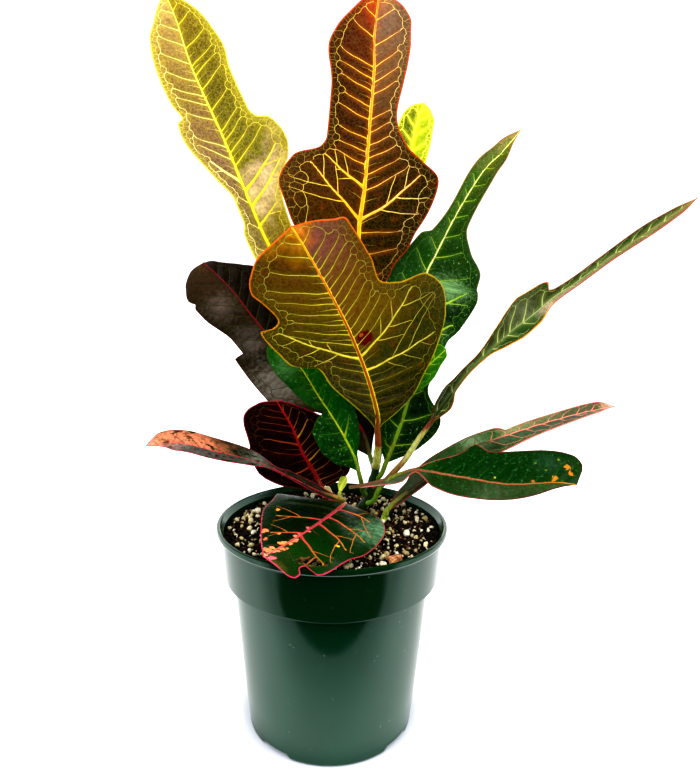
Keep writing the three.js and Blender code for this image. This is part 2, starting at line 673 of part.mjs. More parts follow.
function potSolid() {
  const mouth = [[RIM_RADIUS - RIM_WIDTH, POT_HEIGHT + CUT_PAST], [0, POT_HEIGHT + CUT_PAST]];
  let cavity = toSolid(lathe([...POT_INSIDE.toReversed(), ...mouth], POT_SEGMENTS));
  let pot = toSolid(lathe([...POT_OUTSIDE, [0, POT_HEIGHT]], POT_SEGMENTS));
  for (const angle of notchAngles) cavity = cavity.subtract(notchBlock(angle, WALL));
  pot = pot.subtract(cavity);
  for (const angle of notchAngles) pot = pot.subtract(notchBlock(angle, 0)).subtract(drainHole(angle));
  return pot;
}

// Soil

function soilHeight(x, y) {
  const waves = SOIL_WAVES.map((wave) => wave.share * Math.sin(x * wave.alongX + y * wave.alongY + wave.shift));
  return SOIL_LEVEL + SOIL_LUMP * waves.reduce((sum, wave) => sum + wave);
}

// Perlite grains and a bark chip, sunk into the top of the soil
function soilGrains() {
  const random = randomSource(GRAIN_SEED);
  const grains = [];
  const seat = (grain, x, y, rise) => grains.push(toSolid(grain.translate(x, y, soilHeight(x, y) + rise)));
  for (let i = 0; i < GRAIN_COUNT; i += 1) {
    const away = GRAIN_FIELD_RADIUS * Math.sqrt(random());
    const turn = 2 * Math.PI * random();
    const radius = THREE.MathUtils.lerp(GRAIN_SMALLEST, GRAIN_LARGEST, random() ** 2);
    const grain = new THREE.OctahedronGeometry(radius, 0);
    grain.rotateX(Math.PI * random()).rotateY(Math.PI * random());
    seat(grain, away * Math.cos(turn), away * Math.sin(turn), radius * GRAIN_RISE);
  }
  const bark = new THREE.DodecahedronGeometry(0.5, 0).scale(...BARK_SIZE);
  seat(bark, ...BARK_PLACE, BARK_SIZE[2] * GRAIN_RISE);
  return grains;
}

function soilSolid(stems) {
  const topRadius = COLLAR_TOP_RADIUS - WALL - 2 * GAP;
  const side = POT_INSIDE.slice(2).reverse().map(([radius, z]) => [Math.max(radius - GAP, 0), z + GAP]);
  const rings = Array.from({ length: SOIL_RINGS + 1 }, (_, i) => [topRadius * (1 - i / SOIL_RINGS), SOIL_LEVEL]);
  const ball = lathe([...side, ...rings], POT_SEGMENTS);
  const place = ball.attributes.position;
  for (let i = 0; i < place.count; i += 1) {
    if (place.getZ(i) > SOIL_LEVEL - GAP) place.setZ(i, soilHeight(place.getX(i), place.getY(i)));
  }
  let soil = toSolid(ball);
  for (const grain of soilGrains()) soil = soil.add(grain);
  for (const angle of notchAngles) soil = soil.subtract(notchBlock(angle, WALL + GAP));
  for (const stem of stems) soil = soil.subtract(stem);
  return soil;
}

// Assembly

const plant = new THREE.Group();

plant.add(namedMesh('pot', toGeometry(potSolid()), material(0x1d4a32, 0.35)));

for (const stem of STEMS) {
  plant.add(namedMesh(stem.name, toGeometry(stemSolid(stem, 0)), material(stem.color, 0.5)));
}

// What meets a stem is cut clear of it by the gap
const grownStems = Object.fromEntries(STEMS.map((stem) => [stem.name, stemSolid(stem, GAP)]));
plant.add(namedMesh('soil', toGeometry(soilSolid(Object.values(grownStems))), material(0x2b211a, 0.95)));

for (const leaf of LEAVES) {
  plant.add(namedMesh(leaf.name, toGeometry(leafSolid(leaf, grownStems)), material(leaf.color, 0.35)));
}

export default plant;
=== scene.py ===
import json
import math
import random

import bmesh
import bpy
import numpy as np
from mathutils import Euler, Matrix, Vector, geometry, noise


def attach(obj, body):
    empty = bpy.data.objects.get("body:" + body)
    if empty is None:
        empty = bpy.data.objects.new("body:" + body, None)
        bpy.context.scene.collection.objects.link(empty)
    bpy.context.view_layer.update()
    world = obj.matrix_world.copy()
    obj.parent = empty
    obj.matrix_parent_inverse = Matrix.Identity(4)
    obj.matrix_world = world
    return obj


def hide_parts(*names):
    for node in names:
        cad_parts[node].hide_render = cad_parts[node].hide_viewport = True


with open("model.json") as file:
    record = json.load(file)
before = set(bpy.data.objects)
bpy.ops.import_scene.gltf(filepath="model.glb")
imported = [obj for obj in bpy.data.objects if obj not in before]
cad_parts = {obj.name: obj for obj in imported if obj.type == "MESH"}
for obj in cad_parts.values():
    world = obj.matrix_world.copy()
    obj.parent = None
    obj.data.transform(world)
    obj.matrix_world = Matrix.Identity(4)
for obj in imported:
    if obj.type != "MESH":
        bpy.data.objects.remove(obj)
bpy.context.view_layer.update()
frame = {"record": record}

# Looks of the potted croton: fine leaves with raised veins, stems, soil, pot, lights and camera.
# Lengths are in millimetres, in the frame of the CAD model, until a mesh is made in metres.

MM = 0.001
FULL_TURN = 2 * math.pi
LEFT, RIGHT = SIDES = (-1, 1)

# Material slots of a leaf
UPPER, UNDER, VEINS, STALK = range(4)

# Ranks of veins
MIDRIB, SIDE_VEIN, SMALL_VEIN = range(3)

# Sizes that match the CAD model
HALF_THICKNESS = 0.4
STALK_RADII = [(0, 1.7), (0.5, 1.5), (1, 0.7)]
STALK_REACH = 0.12
SHORT_BLADE = 30
SHORT_BLADE_STALK = 0.6
WAVE_WIDTH = 30
WAVE_STEP = 17
TIP_WIDTH = 0.5

# Curves and tubes
SPAN_SAMPLES = 60
TUBE_START = (0.3, 0.2, 1.0)
STALK_POINTS = 60
STALK_SIDES = 14
STALK_SWELL = 0.3
STALK_SWELL_LENGTH = 3.5
STEM_POINTS = 160
STEM_SIDES = 20
FIRST_SCAR = 0.1
SCAR_SPACING = 9
SCAR_HEIGHT = 0.35
SCAR_LENGTH = 0.9
STEM_WAVE = 0.12
STEM_WAVE_PACE = 0.35

# The blade of a leaf
FRAMES = 300
OUTLINE_POINTS = 260
PLACE_ROUNDS = 8
GRID_STEP = 1.5
FEWEST_ROWS = 12
FEWEST_COLUMNS = 4
EDGE_COLUMN = 0.15
EDGE_THICKNESS = 0.12
EDGE_WIDTH = 4
QUILT_DEPTH = 0.45
QUILT_WIDTH = 1.8
UNDER_QUILT = 0.6
RIB_RISE = 0.35
RIB_SPREAD = 2.5
UNDER_RIB = 0.5
GLOW_WIDTH = 1.5
GLOW_FLOOR = 0.35
GLOW_REACH = 0.6
RIB_GLOW_WIDTH = 2.2
HOLE_RAGGED = 0.35
HOLE_CORNERS = 3
FAR_AWAY = 99.0
NO_ZERO = 1e-9

# Side veins: how they bend, end and waver
VEIN_SAMPLES = 90
VEIN_OVERRUN = 1.3
VEIN_BEND = 0.16
VEIN_STEP = 1.3
VEIN_TAPER = ((0, 0.12, 0.6, 1), (1.6, 1.05, 0.8, 0.6))
VEIN_WAVER = 0.25
WAVER_PACE = 0.33
WAVER_SHIFT = 2.1
WAVER_START = 6
END_UNEVEN = 0.15
END_PACE = 2.3
FORK_REACH = 6
FORK_CLOSE = 1.5
STRONG = 1.3
STRONG_WIDTH = 2.0
RIB_ENDS = (0.3, 0.4)
RIB_STEP = 2.5
FEWEST_RIB_POINTS = 8
RIB_TAPER = ((0, 0.3, 1), (2.6, 2.0, 0.8))

# Small veins between two side veins that lie far apart
WIDE_PANEL = 550
SMALL_PLACE = (0.4, 0.6)
SMALL_REACH = (0.3, 0.65)
SMALL_STEP = 1.4
SMALL_WAVER = 0.4
SMALL_PACE = 0.4
SMALL_WIDTHS = (0.5, 0.15)
SMALL_STRENGTHS = (0.8, 0.3)

# Branches of the strong side veins
BRANCH_ANGLE = 0.75
BRANCH_BEND = 0.012
BRANCH_WAVER = 0.05
BRANCH_PACE = 0.8
BRANCH_STEP = 1.2
BRANCH_STRENGTH = 1.1
BRANCH_WIDTHS = (1.0, 0.55)
BRANCH_STEM_STEP = 0.5
BRANCH_SIGHT = 4
LONGEST_BRANCH = 60
SHORTEST_BRANCH = 4
BRANCH_PERCENTS = (2, 98)
BRANCH_END = 0.6
NET_REACH = (0.5, 4)

# The net of veins near the margin. Cells from FIRST_LOOP up belong to the net
LOOP_SHARE = 0.32
LEAST_LOOP = 1.2
LOOP_DEPTH = 9.5
FIRST_LOOP = 1000
FIRST_LOOSE_LOOP = 1100
SEED_SHARE = 0.3
SEED_OFFSETS = (0.6, 2.6)
SEED_START = 2
SEED_STEP = 0.8
SEED_AHEAD = 2.1
MIDDLE_STEP = 1.5
LOOSE_SEEDS = 2600
LOOSE_SHARE = 0.42
LOOSE_DEPTHS = (2, 1.4)
SPACING = (1.0, 0.75)
SPACING_LIMITS = (1.4, 6.5)
SEED_FROM_RIB = 1
SEED_FROM_EDGE = 0.5
CORNER_FROM_RIB = 0.3
CORNER_FROM_EDGE = 0.3
SAME_PLACE = 1e-6
STUB_LENGTH = 4
ARCH_WIDTH = 0.6
ARCH_STRENGTH = 0.85
LINK_WIDTH = (0.2, 0.05, 0.45)
LINK_STRENGTH = (0.2, 0.09, 0.7)
LINK_LENGTHS = (0.3, 25)
LINK_STEP = 1.3
LINK_BOW = 0.1
LINK_WIDTHS = (0.85, 1.1)

# Cross sections of raised veins: places across from -1 to 1, with heights from 0 to 1
RIDGE = ((-1, 0), (0, 1), (1, 0))
ROUND_RIB = ((-1, 0), (-0.55, 0.75), (0, 1), (0.55, 0.75), (1, 0))
RIDGE_SINK = 0.05
RIB_SWELL = 0.2
UNDER_RIB_SWELL = 0.45
MAIN_SWELL = 0.22
UNDER_SWELL = 0.3
THIN_SWELL = 0.2

STEMS = {
    "stem_main": {
        "path": [(13, 19, 88), (17, 21, 124), (22, 22, 134), (25, 24, 144), (28, 26, 156),
                 (29.5, 29, 179), (26, 31, 205), (18, 32, 231), (11, 33, 251)],
        "radii": [(0, 3.1), (0.5, 2.6), (1, 1.8)],
        "colors": [(0, "#20280f"), (0.3, "#142c0c"), (0.55, "#0e300a"), (1, "#4a6a1c")],
    },
    "stem_left": {
        "path": [(1, 25, 95), (1.6, 24, 124), (3, 24, 131), (4, 24, 136)],
        "radii": [(0, 2.1), (1, 1.8)],
        "colors": [(0, "#6a6a30"), (0.7, "#8a963c"), (1, "#a8b850")],
    },
    "stem_right": {
        "path": [(31, 14, 95), (32.5, 12.5, 122), (33.5, 12, 129)],
        "radii": [(0, 2.2), (1, 2.0)],
        "colors": [(0, "#6a7a28"), (0.8, "#8aa030"), (1, "#98b030")],
    },
}

# Each leaf repeats its shape from the CAD source. left and right are pairs of percent along the midrib and
# reach from it to the margin. veins are the places of its side veins along the midrib, in percent, on the
# left and on the right, with the strong ones repeated in strong. lean turns them from their usual course.
LEAF_DEFAULTS = {
    "fold": 0, "ripple": 0, "fan": (80, 60, 45), "lean": ([(0, 0)], [(0, 0)]),
    "veins": ([], []), "strong": ([], []), "stalk_joins_at": 0, "stalk_size": 1,
}

LEAVES = {
    "leaf_yellow_top_left": {
        "stalk": [(12.6, 32.8, 246), (4, 35.5, 248.5), (-9, 39, 256)],
        "midrib": [(-22, 42, 266), (-41, 45, 293), (-56, 50, 325), (-72, 58, 362), (-93, 70, 406),
                   (-105, 80, 439), (-113, 86, 456)],
        "faces": [(0.35, -1, 0.15), (0.2, -1, 0.1), (0.1, -1, 0.2)], "fold": 4, "ripple": 1.5,
        "left": [(0, 1.5), (9, 13), (20, 12.5), (24, 9.5), (31, 9.5), (37, 16.5), (49, 28), (53, 27),
                 (55, 22.5), (59, 26), (69, 27.5), (78, 26), (85, 20), (94, 10), (100, 0)],
        "right": [(0, 1.5), (13, 18.5), (25, 22.5), (31, 31), (33, 38), (37, 41.5), (44, 36.5), (47, 29),
                  (50, 26), (63, 27.5), (70, 30.5), (79, 26), (92, 12.5), (100, 0)],
        "veins": ([6, 14, 22, 30, 37, 44, 48, 57, 62, 65, 70, 76, 82, 87, 93],
                  [6, 14, 23, 29, 34, 42, 46, 50, 53, 60, 67, 72, 75, 81, 89, 94]),
        "strong": ([37], [23, 29, 34]),
        "lean": ([(14, -0.5), (37, -0.6), (50, 0.05), (85, 0.25)],
                 [(14, -0.1), (30, -0.16), (60, 0.1), (85, 0.28)]),
    },
    "leaf_bronze_top": {
        "stalk": [(12, 32.8, 248), (12.5, 32.8, 254)],
        "midrib": [(17, 32, 262), (14, 28, 300), (17, 27, 329), (20, 31, 371), (22, 37, 398), (22, 43, 419),
                   (25, 52, 448)],
        "faces": [(0, -1, 0.1), (-0.1, -1, 0.1), (0.1, -1, 0.3)], "fold": 5, "ripple": 1.2,
        "left": [(0, 1.5), (4, 8.5), (10, 22), (15, 34.5), (17, 42), (26, 55), (34, 49), (41, 31),
                 (44, 28.5), (58, 29.5), (69, 34), (75, 30), (85, 20), (93, 11), (100, 0)],
        "right": [(0, 1.5), (3, 14.5), (9, 23.5), (12, 31), (19, 37), (30, 47.5), (37, 36.5), (43, 26.5),
                  (54, 18.5), (63, 22), (74, 28), (81, 28), (87, 23), (94, 12), (100, 0)],
        "veins": ([6, 15, 26, 36, 43, 47, 51, 57, 61, 66, 70, 74, 84, 91],
                  [8, 15, 22, 26, 35, 40, 45, 49, 53, 57, 65, 69, 74, 81, 90]),
        "strong": ([26, 36], [26]),
        "lean": ([(15, 0), (26, -0.36), (36, -0.11), (45, 0.28)],
                 [(15, 0.25), (22, 0.29), (25, -0.3), (30, -0.2), (36, 0), (45, 0.15)]),
    },
    "leaf_olive_front": {
        "stalk": [(28, 26, 156), (27.8, 20.5, 160), (28, 14, 173)], "stalk_size": 1.4,
        "midrib": [(27, 8, 185), (26, 2, 197), (19, -8, 221), (8, -18, 248), (-5, -26, 273), (-16, -31, 292),
                   (-23, -33, 303)],
        "faces": [(0.05, -1, 0.3), (0, -1, 0.25)], "fold": 4, "ripple": 1.2,
        "left": [(0, 1.5), (13, 11.5), (27, 23.5), (36, 28), (37, 40), (42, 45), (52, 50.5), (53, 44),
                 (57, 37.5), (64, 42), (67, 45), (79, 36), (92, 14), (100, 0)],
        "right": [(0, 1.5), (3, 3.5), (9, 23), (15, 34.5), (20, 47.5), (26, 60), (32, 64.5), (39, 59.5),
                  (46, 41.5), (54, 31.5), (61, 34), (76, 34), (82, 26), (90, 15), (100, 0)],
        "veins": ([13, 19, 25, 31, 38, 45, 50, 55, 60, 65, 70, 78, 86, 92],
                  [8, 14, 20, 25, 32, 39, 44, 48, 52, 58, 63, 67, 71, 76, 80, 85, 92]),
        "strong": ([38], [32, 39]),
        "lean": ([(13, -0.3), (31, -0.25), (38, -0.3), (45, -0.08), (60, 0.14), (85, 0.2)],
                 [(8, 0.25), (25, 0.33), (32, 0.34), (39, 0.06), (48, 0.05), (60, 0.14), (80, 0.3)]),
    },
    "leaf_lime_back": {
        "stalk": [(13, 32.7, 244), (17, 38, 250), (25, 47, 261)],
        "midrib": [(30, 52, 271), (36, 58, 301), (44, 66, 333), (50, 74, 362), (54, 80, 379), (59, 86, 393)],
        "faces": [(-0.2, -1, 0.05), (-0.1, -1, 0.1)], "fold": 4, "ripple": 0.8,
        "left": [(0, 1.5), (22, 12.5), (65, 16), (82, 14.5), (89, 11), (100, 0)],
        "right": [(0, 1.5), (23, 7.5), (54, 12.5), (73, 15), (82, 14.5), (90, 10), (100, 0)],
        "veins": ([8, 20, 32, 44, 56, 67, 76, 84, 92], [12, 25, 37, 49, 61, 71, 80, 88, 94]),
    },
    "leaf_green_tall_right": {
        "stalk": [(26.5, 25, 147), (31, 23.5, 151)],
        "midrib": [(34, 21, 160), (40, 19, 178), (45, 20, 194), (50, 23, 216), (53, 30, 245), (57, 40, 275),
                   (65, 44, 293), (79, 50, 320), (95, 57, 345), (107, 62, 357), (122, 69.5, 374)],
        "faces": [(0.1, -1, 0.15), (0.1, -1, 0.15), (0.25, -1, 0.3), (0.3, -1, 0.3)], "fold": 6,
        "ripple": 1.5, "fan": (70, 60, 50),
        "left": [(0, 1.5), (4, 10), (14, 15), (22, 10.5), (30, 10), (37, 16.5), (42, 28), (49, 22), (56, 18),
                 (60, 11), (69, 7.5), (80, 9.5), (90, 8), (100, 0)],
        "right": [(0, 1.5), (4, 16.5), (10, 25.5), (20, 11.5), (24, 16), (30, 21.5), (32, 29), (39, 40),
                  (49, 37.5), (57, 23), (65, 12.5), (80, 10.5), (88, 7), (95, 2), (100, 0)],
        "veins": ([4, 10, 17, 24, 31, 38, 45, 52, 58, 66, 71, 75, 79, 87, 93],
                  [5, 12, 19, 26, 33, 40, 48, 56, 62, 68, 73, 78, 84, 90]),
        "strong": ([38], [33, 40]),
    },
    "leaf_slim_far_right": {
        "stalk": [(25, 24, 142), (30.5, 20, 144.5), (39, 17.6, 155), (46, 16.5, 164), (54, 15, 178)],
        "stalk_size": 1.2,
        "midrib": [(60, 14, 188), (70, 12, 203), (81, 8, 221), (93, 4, 235), (105, 0, 248), (116, -4, 258),
                   (125, -6, 267), (138, -9, 277), (155, -14, 292), (174, -20, 307), (192, -26, 322)],
        "faces": [(-0.75, -0.45, 0.5), (-0.7, -0.55, 0.5), (-0.55, -0.45, 0.7), (-0.5, -0.4, 0.8)],
        "fan": (60, 55, 45),
        "left": [(0, 1.5), (4, 9), (8, 10.5), (14, 7.5), (23, 5.5), (33, 13.5), (39, 23.5), (46, 21),
                 (51, 17), (52, 9.5), (55, 7), (70, 7), (82, 9.5), (91, 6.5), (100, 0)],
        "right": [(0, 1.5), (3, 6), (6, 8.5), (9, 6.5), (13, 2), (28, 3), (33, 8.5), (38, 12), (43, 11),
                  (51, 5.5), (62, 4), (86, 6), (92, 5.5), (100, 0)],
        "veins": ([4, 12, 20, 27, 33, 38, 43, 50, 57, 63, 69, 75, 80, 85, 90, 95],
                  [5, 14, 23, 31, 37, 43, 52, 60, 68, 76, 83, 90]),
    },
    "leaf_pink_low_right": {
        "stalk": [(33.5, 12, 128)],
        "midrib": [(35, 12, 132), (45, 14, 141), (56, 18, 148), (69, 25, 157), (92, 34, 167), (115, 41, 173),
                   (140, 46, 180), (168, 50, 187), (193, 52, 192)],
        "faces": [(-0.35, -0.7, 0.7), (-0.35, -0.6, 0.8), (-0.1, -0.5, 1), (-0.1, -0.5, 1), (-0.1, -0.5, 1)],
        "fan": (60, 55, 45),
        "left": [(0, 1.5), (5, 5), (9, 7), (12, 11), (26, 11), (48, 12.5), (52, 9.5), (54, 6.5), (57, 7.5),
                 (77, 9.5), (89, 11), (100, 0)],
        "right": [(0, 1.5), (4, 4.5), (16, 5), (22, 9), (38, 16), (58, 12), (88, 5.5), (100, 0)],
        "veins": ([6, 13, 20, 27, 34, 41, 48, 54, 60, 66, 72, 78, 84, 90, 95],
                  [8, 16, 24, 32, 40, 48, 56, 63, 70, 77, 84, 91]),
    },
    "leaf_green_low_right": {
        "stalk": [(21.3, 22, 132), (26, 16, 136), (29.5, 11.5, 146)], "stalk_joins_at": 0.2,
        "midrib": [(10, 13, 146), (20, 12, 148), (35, 10, 153), (48, 8, 159), (57, 4, 160), (78, -8, 160),
                   (103, -17, 159), (128, -22, 162), (141, -23, 161)],
        "faces": [(0, -0.8, 0.8), (0, -0.8, 0.8)], "fan": (70, 60, 60),
        "left": [(0, 0.5), (12, 1), (30, 1.5), (36, 10), (43, 20), (45, 28), (54, 24), (64, 25.5),
                 (91, 22.5), (96, 18), (99, 11), (100, 0)],
        "right": [(0, 0.5), (12, 3), (22, 6), (31, 2), (38, 11.5), (49, 15), (75, 10), (100, 0)],
        "veins": ([35, 41, 47, 53, 59, 65, 71, 77, 83, 89, 94], [36, 43, 50, 57, 64, 71, 78, 85, 92]),
    },
    "leaf_dark_left": {
        "stalk": [(27.2, 25.7, 152.5), (26, 31, 155.5)],
        "midrib": [(24, 35, 161), (19, 37, 177), (7, 40, 190), (-16, 43, 212), (-46, 46, 241),
                   (-65, 51, 264), (-77, 55, 276), (-87, 59, 284)],
        "faces": [(-0.1, -1, 0.3), (-0.1, -1, 0.3), (-0.2, -1, 0.5)], "fold": 6, "ripple": 1.5,
        "fan": (90, 60, 50),
        "left": [(0, 1.5), (5, 9.5), (15, 8.5), (23, 12), (37, 33.5), (54, 31), (56, 23.5), (61, 23.5),
                 (70, 31), (76, 32), (79, 29.5), (80, 32), (88, 26), (93, 18.5), (97, 10.5), (100, 0)],
        "right": [(0, 1.5), (5, 4.5), (11, 10), (29, 12.5), (34, 18), (41, 22.5), (66, 28.5), (73, 28),
                  (82, 19.5), (91, 10), (96, 5.5), (100, 0)],
        "veins": ([7, 15, 23, 31, 38, 46, 53, 60, 66, 71, 76, 81, 87, 93],
                  [8, 17, 26, 34, 42, 49, 56, 63, 69, 75, 80, 86, 92]),
    },
    "leaf_maroon_low_left": {
        "stalk": [(3.2, 24, 131.5), (-2, 27, 135)],
        "midrib": [(-7, 28, 140), (-12, 28.5, 150), (-20, 29, 164), (-27, 30, 181), (-35, 32, 194),
                   (-37, 33, 197)],
        "faces": [(0.05, -0.9, 0.5), (-0.1, -0.9, 0.3)], "fold": 8, "ripple": 1, "fan": (110, 60, 45),
        "left": [(0, 1.5), (19, 18.5), (27, 26), (34, 32.5), (48, 33.5), (62, 32.5), (74, 30), (83, 24.5),
                 (90, 17), (95, 11), (100, 0)],
        "right": [(0, 1.5), (4, 12), (6, 17.5), (12, 23), (29, 29), (40, 29), (53, 22), (63, 17), (83, 8.5),
                  (94, 3.5), (100, 0)],
        "veins": ([12, 25, 40, 50, 62, 70, 78, 86], [9, 19, 31, 40, 48, 57, 67, 78, 88]),
        "strong": ([25, 50], [31, 57]),
    },
    "leaf_green_mid": {
        "stalk": [(23.3, 22.8, 137.5), (19.5, 20, 140.5), (18, 18.5, 148)],
        "midrib": [(16, 17, 156), (13, 15, 166), (3, 10, 186), (-10, 6, 207), (-19, 4, 222), (-30, 3, 234),
                   (-34, 3, 241)],
        "faces": [(0.05, -1, 0.35), (0.05, -1, 0.35)], "fold": 5, "ripple": 1,
        "left": [(0, 1.5), (9, 13), (14, 15.5), (19, 18), (33, 17.5), (37, 14), (42, 9), (46, 2.5),
                 (48, 6.5), (52, 10.5), (74, 17), (84, 14), (92, 9), (100, 0)],
        "right": [(0, 1.5), (3, 1.5), (8, 2), (20, 10.5), (36, 17), (53, 21), (73, 14), (85, 11), (100, 0)],
        "veins": ([8, 18, 29, 40, 51, 61, 70, 79, 88], [14, 25, 36, 47, 57, 66, 75, 84, 92]),
        "strong": ([], [25]), "lean": ([(0, 0)], [(15, -0.2), (25, -0.65), (40, -0.2), (60, 0)]),
    },
    "leaf_orange_tip_left": {
        "stalk": [(3.5, 24, 133.2)],
        "midrib": [(6, 18, 136.5), (-10, 17, 142.5), (-31, 15, 154), (-49, 12, 163), (-73, 9, 170),
                   (-93, 5, 176), (-113, 2, 175)],
        "faces": [(-0.1, -0.55, 1), (-0.1, -0.5, 1)], "fan": (60, 55, 45),
        "left": [(0, 1.5), (4, 4), (20, 2.5), (34, 1.5), (40, 2), (46, 5.5), (60, 8.5), (80, 9.5), (89, 4.5),
                 (95, 1.5), (100, 0)],
        "right": [(0, 1.5), (5, 2.5), (12, 5.5), (28, 5), (34, 3), (47, 11), (65, 15), (81, 16.5), (86, 15),
                  (94, 7), (100, 0)],
        "veins": ([12, 24, 36, 46, 56, 66, 75, 83, 90], [10, 20, 30, 39, 47, 54, 61, 68, 75, 82, 89, 94]),
    },
    "leaf_low_front": {
        "stalk": [(2.2, 24, 128.6), (6, 18, 130.4)],
        "midrib": [(8, 11, 136), (1, -4, 136), (-14, -30, 135), (-26, -50, 135), (-35, -68, 137)],
        "faces": [(-0.05, -0.25, 1), (-0.05, -0.25, 1)], "fan": (95, 60, 45),
        "left": [(0, 1.5), (5, 12), (8, 20), (11, 29), (24, 40), (39, 43), (46, 40.5), (68, 43.5), (75, 41),
                 (77, 28), (81, 28), (84, 34), (88, 34.5), (92, 28.5), (94, 18.5), (100, 0)],
        "right": [(0, 1.5), (5, 24.5), (7, 37), (10, 43.5), (20, 40.5), (30, 38.5), (39, 34), (65, 19),
                  (100, 0)],
        "veins": ([12, 27, 39, 60, 78], [14, 33, 56, 76]), "strong": ([12, 27, 39, 60], [33, 56]),
    },
    "leaf_small_right": {
        "stalk": [(29, 29.3, 183), (28, 21, 189), (28.5, 15, 196)],
        "midrib": [(33, 13, 201), (45, 10, 213), (57, 8, 225), (67, 7, 235)],
        "faces": [(-0.1, -1, 0.2), (-0.1, -1, 0.2)], "fold": 4, "ripple": 0.5,
        "left": [(0, 1.5), (15, 6.5), (55, 11), (75, 9.5), (90, 6.5), (100, 0)],
        "right": [(0, 1.5), (50, 9.5), (77, 6), (87, 5), (100, 0)],
        "veins": ([15, 33, 50, 66, 80], [20, 40, 58, 73, 86]),
    },
    "bud_left": {
        "stalk": [(4.3, 24.1, 136.9)], "midrib": [(4.8, 24.3, 139.5), (6, 25, 143), (9, 25, 149)],
        "faces": [(0, -1, 0.2), (0, -1, 0.2)], "fold": 10, "fan": (70, 60, 45),
        "left": [(0, 1.2), (25, 3.5), (55, 4), (100, 0)], "right": [(0, 1.2), (40, 2.5), (70, 2), (100, 0)],
    },
    "bract_left": {
        "stalk": [], "midrib": [(1, 21.8, 132), (-1.8, 21.6, 137.5), (-5, 21.5, 143.5)],
        "faces": [(0, -1, 0.3), (0, -1, 0.3)], "fold": 8, "fan": (70, 60, 45),
        "left": [(0, 1), (30, 2.5), (75, 2), (100, 0)], "right": [(0, 1), (30, 2), (70, 3), (100, 0)],
    },
}

# How each leaf is coloured. left and right run from the blade's base to its tip, as pairs of place and
# colour; a few of their stops are painted highlights and reflections, noted at their leaves. spots and
# sheen are patches: percent, reach, radius and colour, and for sheen its amount. The sheen patches are
# painted highlights and reflections on the glossy blades. holes are places where the blade is missing:
# percent, reach and radius.
LOOK_DEFAULTS = {
    "margin_width": 0.6, "gloss": 0.2, "weak": 1.0, "loops": 1.0, "faint": 1.0, "rib_size": 1.0,
    "vein_size": 1.0, "vein_lift": 1.0, "spot_shape": 1.2, "branches": (0.34, 0.46, 0.62, 0.76),
    "painted_sheen": (), "spots": (), "holes": (),
}

